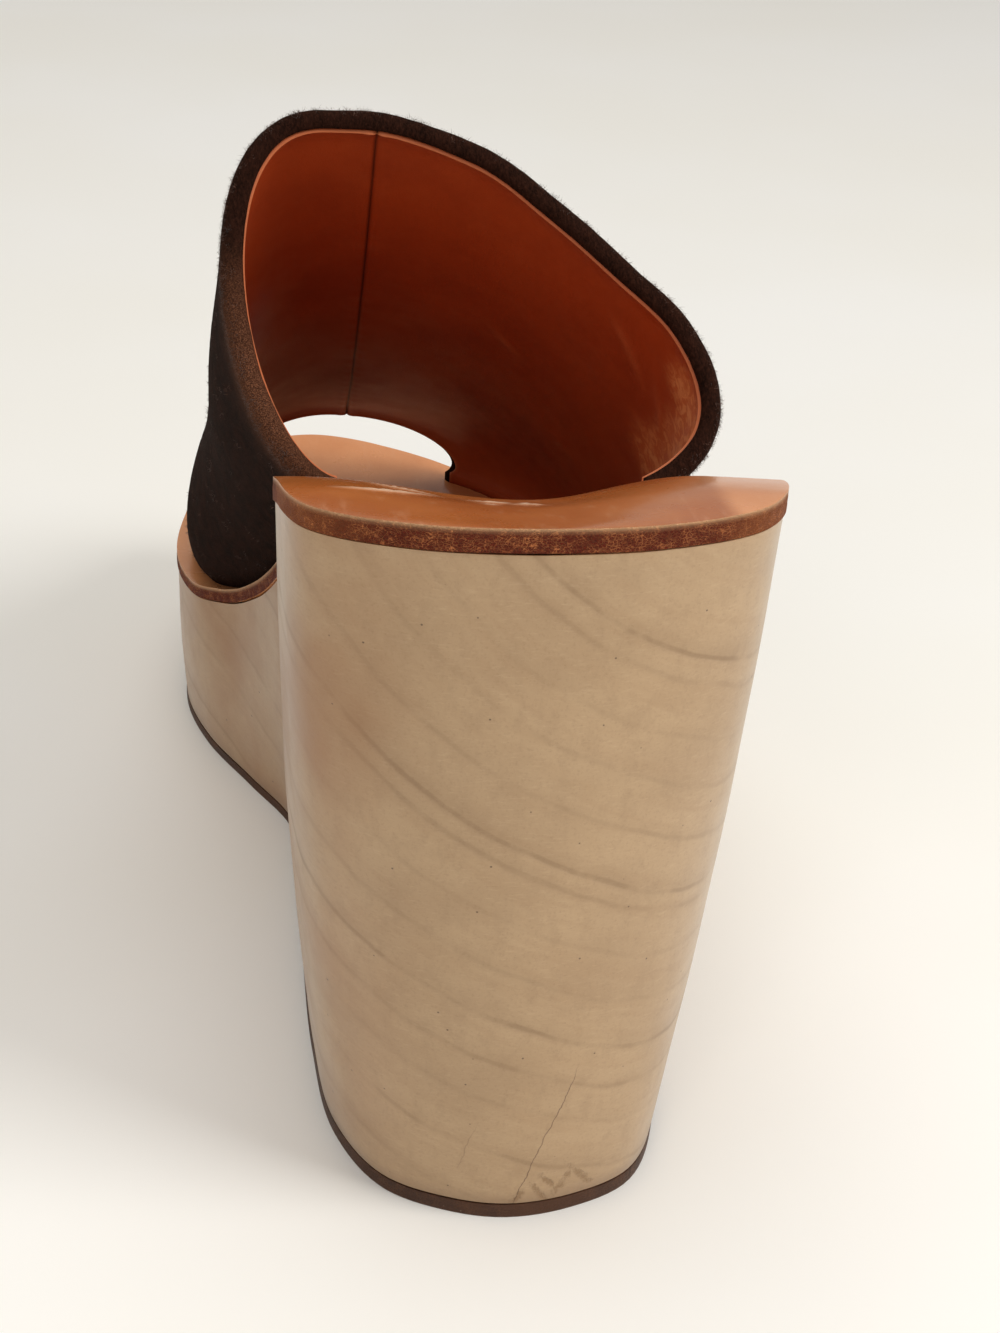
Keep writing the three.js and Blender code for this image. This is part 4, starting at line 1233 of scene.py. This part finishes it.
# %% Floor
floor_finish, web, shader = finish_of("pale_floor", Roughness=0.55)
place = web.millimetres()
cloudy_floor = web.between(web.noise(place, 260.0), 0.35, 0.65)
web.link(web.mix(cloudy_floor, srgb(248, 246, 240), srgb(250, 249, 246)), shader["Base Color"])
bm = bmesh.new()
bmesh.ops.create_grid(bm, x_segments=8, y_segments=8, size=4.0)
mesh = bpy.data.meshes.new("floor")
bm.to_mesh(mesh)
bm.free()
floor = bpy.data.objects.new("floor", mesh)
bpy.context.scene.collection.objects.link(floor)
mesh.materials.append(floor_finish)
floor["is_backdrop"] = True

# %% Light
world = bpy.data.worlds.new("soft_room")
bpy.context.scene.world = world
world.use_nodes = True
world.node_tree.nodes["Background"].inputs["Color"].default_value = (1.0, 0.972, 0.93, 1.0)
world.node_tree.nodes["Background"].inputs["Strength"].default_value = 0.36


def soft_light(name, place, aim, size, power, colour):
    """A square lamp with its place and size in metres, turned to face a point."""
    lamp = bpy.data.lights.new(name, "AREA")
    lamp.size = size
    lamp.energy = power
    lamp.color = colour
    obj = bpy.data.objects.new(name, lamp)
    bpy.context.scene.collection.objects.link(obj)
    obj.location = place
    obj.rotation_euler = (Vector(aim) - Vector(place)).to_track_quat("-Z", "Y").to_euler()


LAMPS = (
    ("window", (0.85, -0.5, 0.85), (0, -0.02, 0.06), 0.6, 9.0, (1.0, 0.985, 0.95)),
    ("ceiling", (-0.15, 0.15, 1.35), (0, 0, 0.05), 1.0, 6.5, (1.0, 0.98, 0.95)),
    ("behind", (-0.35, -1.1, 0.75), (0, -0.02, 0.08), 0.5, 2.7, (1.0, 0.96, 0.9)),
    ("inner_side", (-0.9, -0.35, 0.5), (0, -0.02, 0.07), 0.6, 0.4, (1.0, 0.93, 0.84)),
)
for lamp in LAMPS:
    soft_light(*lamp)

# %% Camera
PICTURE_WIDE, PICTURE_TALL = 1000, 1333
PHOTO_FOCUS, PHOTO_PITCH = 1800.0, math.radians(26.5783)
EYE = Vector((-44.4, -412.1, 256.7)) * MM
SHOE_IN_PHOTO = (725.0, 708.0)
FOCUS = 2600.0
ahead = Vector((0, math.cos(PHOTO_PITCH), -math.sin(PHOTO_PITCH)))
upward = Vector((0, math.sin(PHOTO_PITCH), math.cos(PHOTO_PITCH)))
right = Vector((1, 0, 0))
aside = (SHOE_IN_PHOTO[0] - PICTURE_WIDE / 2) / PHOTO_FOCUS
below = (SHOE_IN_PHOTO[1] - PICTURE_TALL / 2) / PHOTO_FOCUS
look = (ahead + right * aside - upward * below).normalized()
head = (upward - look * upward.dot(look)).normalized()
lens = bpy.data.cameras.new("camera")
lens.sensor_width = 36.0
lens.lens = FOCUS * 36.0 / PICTURE_TALL
lens.clip_start = 0.01
camera = bpy.data.objects.new("camera", lens)
bpy.context.scene.collection.objects.link(camera)
camera.matrix_world = Matrix.Translation(EYE) @ Matrix((look.cross(head), head, -look)).transposed().to_4x4()
bpy.context.scene.camera = camera
bpy.context.scene.view_settings.view_transform = "Standard"

# %% Measure the dressed shoe
low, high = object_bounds()
print("dressed box in mm:", [round((b - a) / MM, 1) for a, b in zip(low, high)])
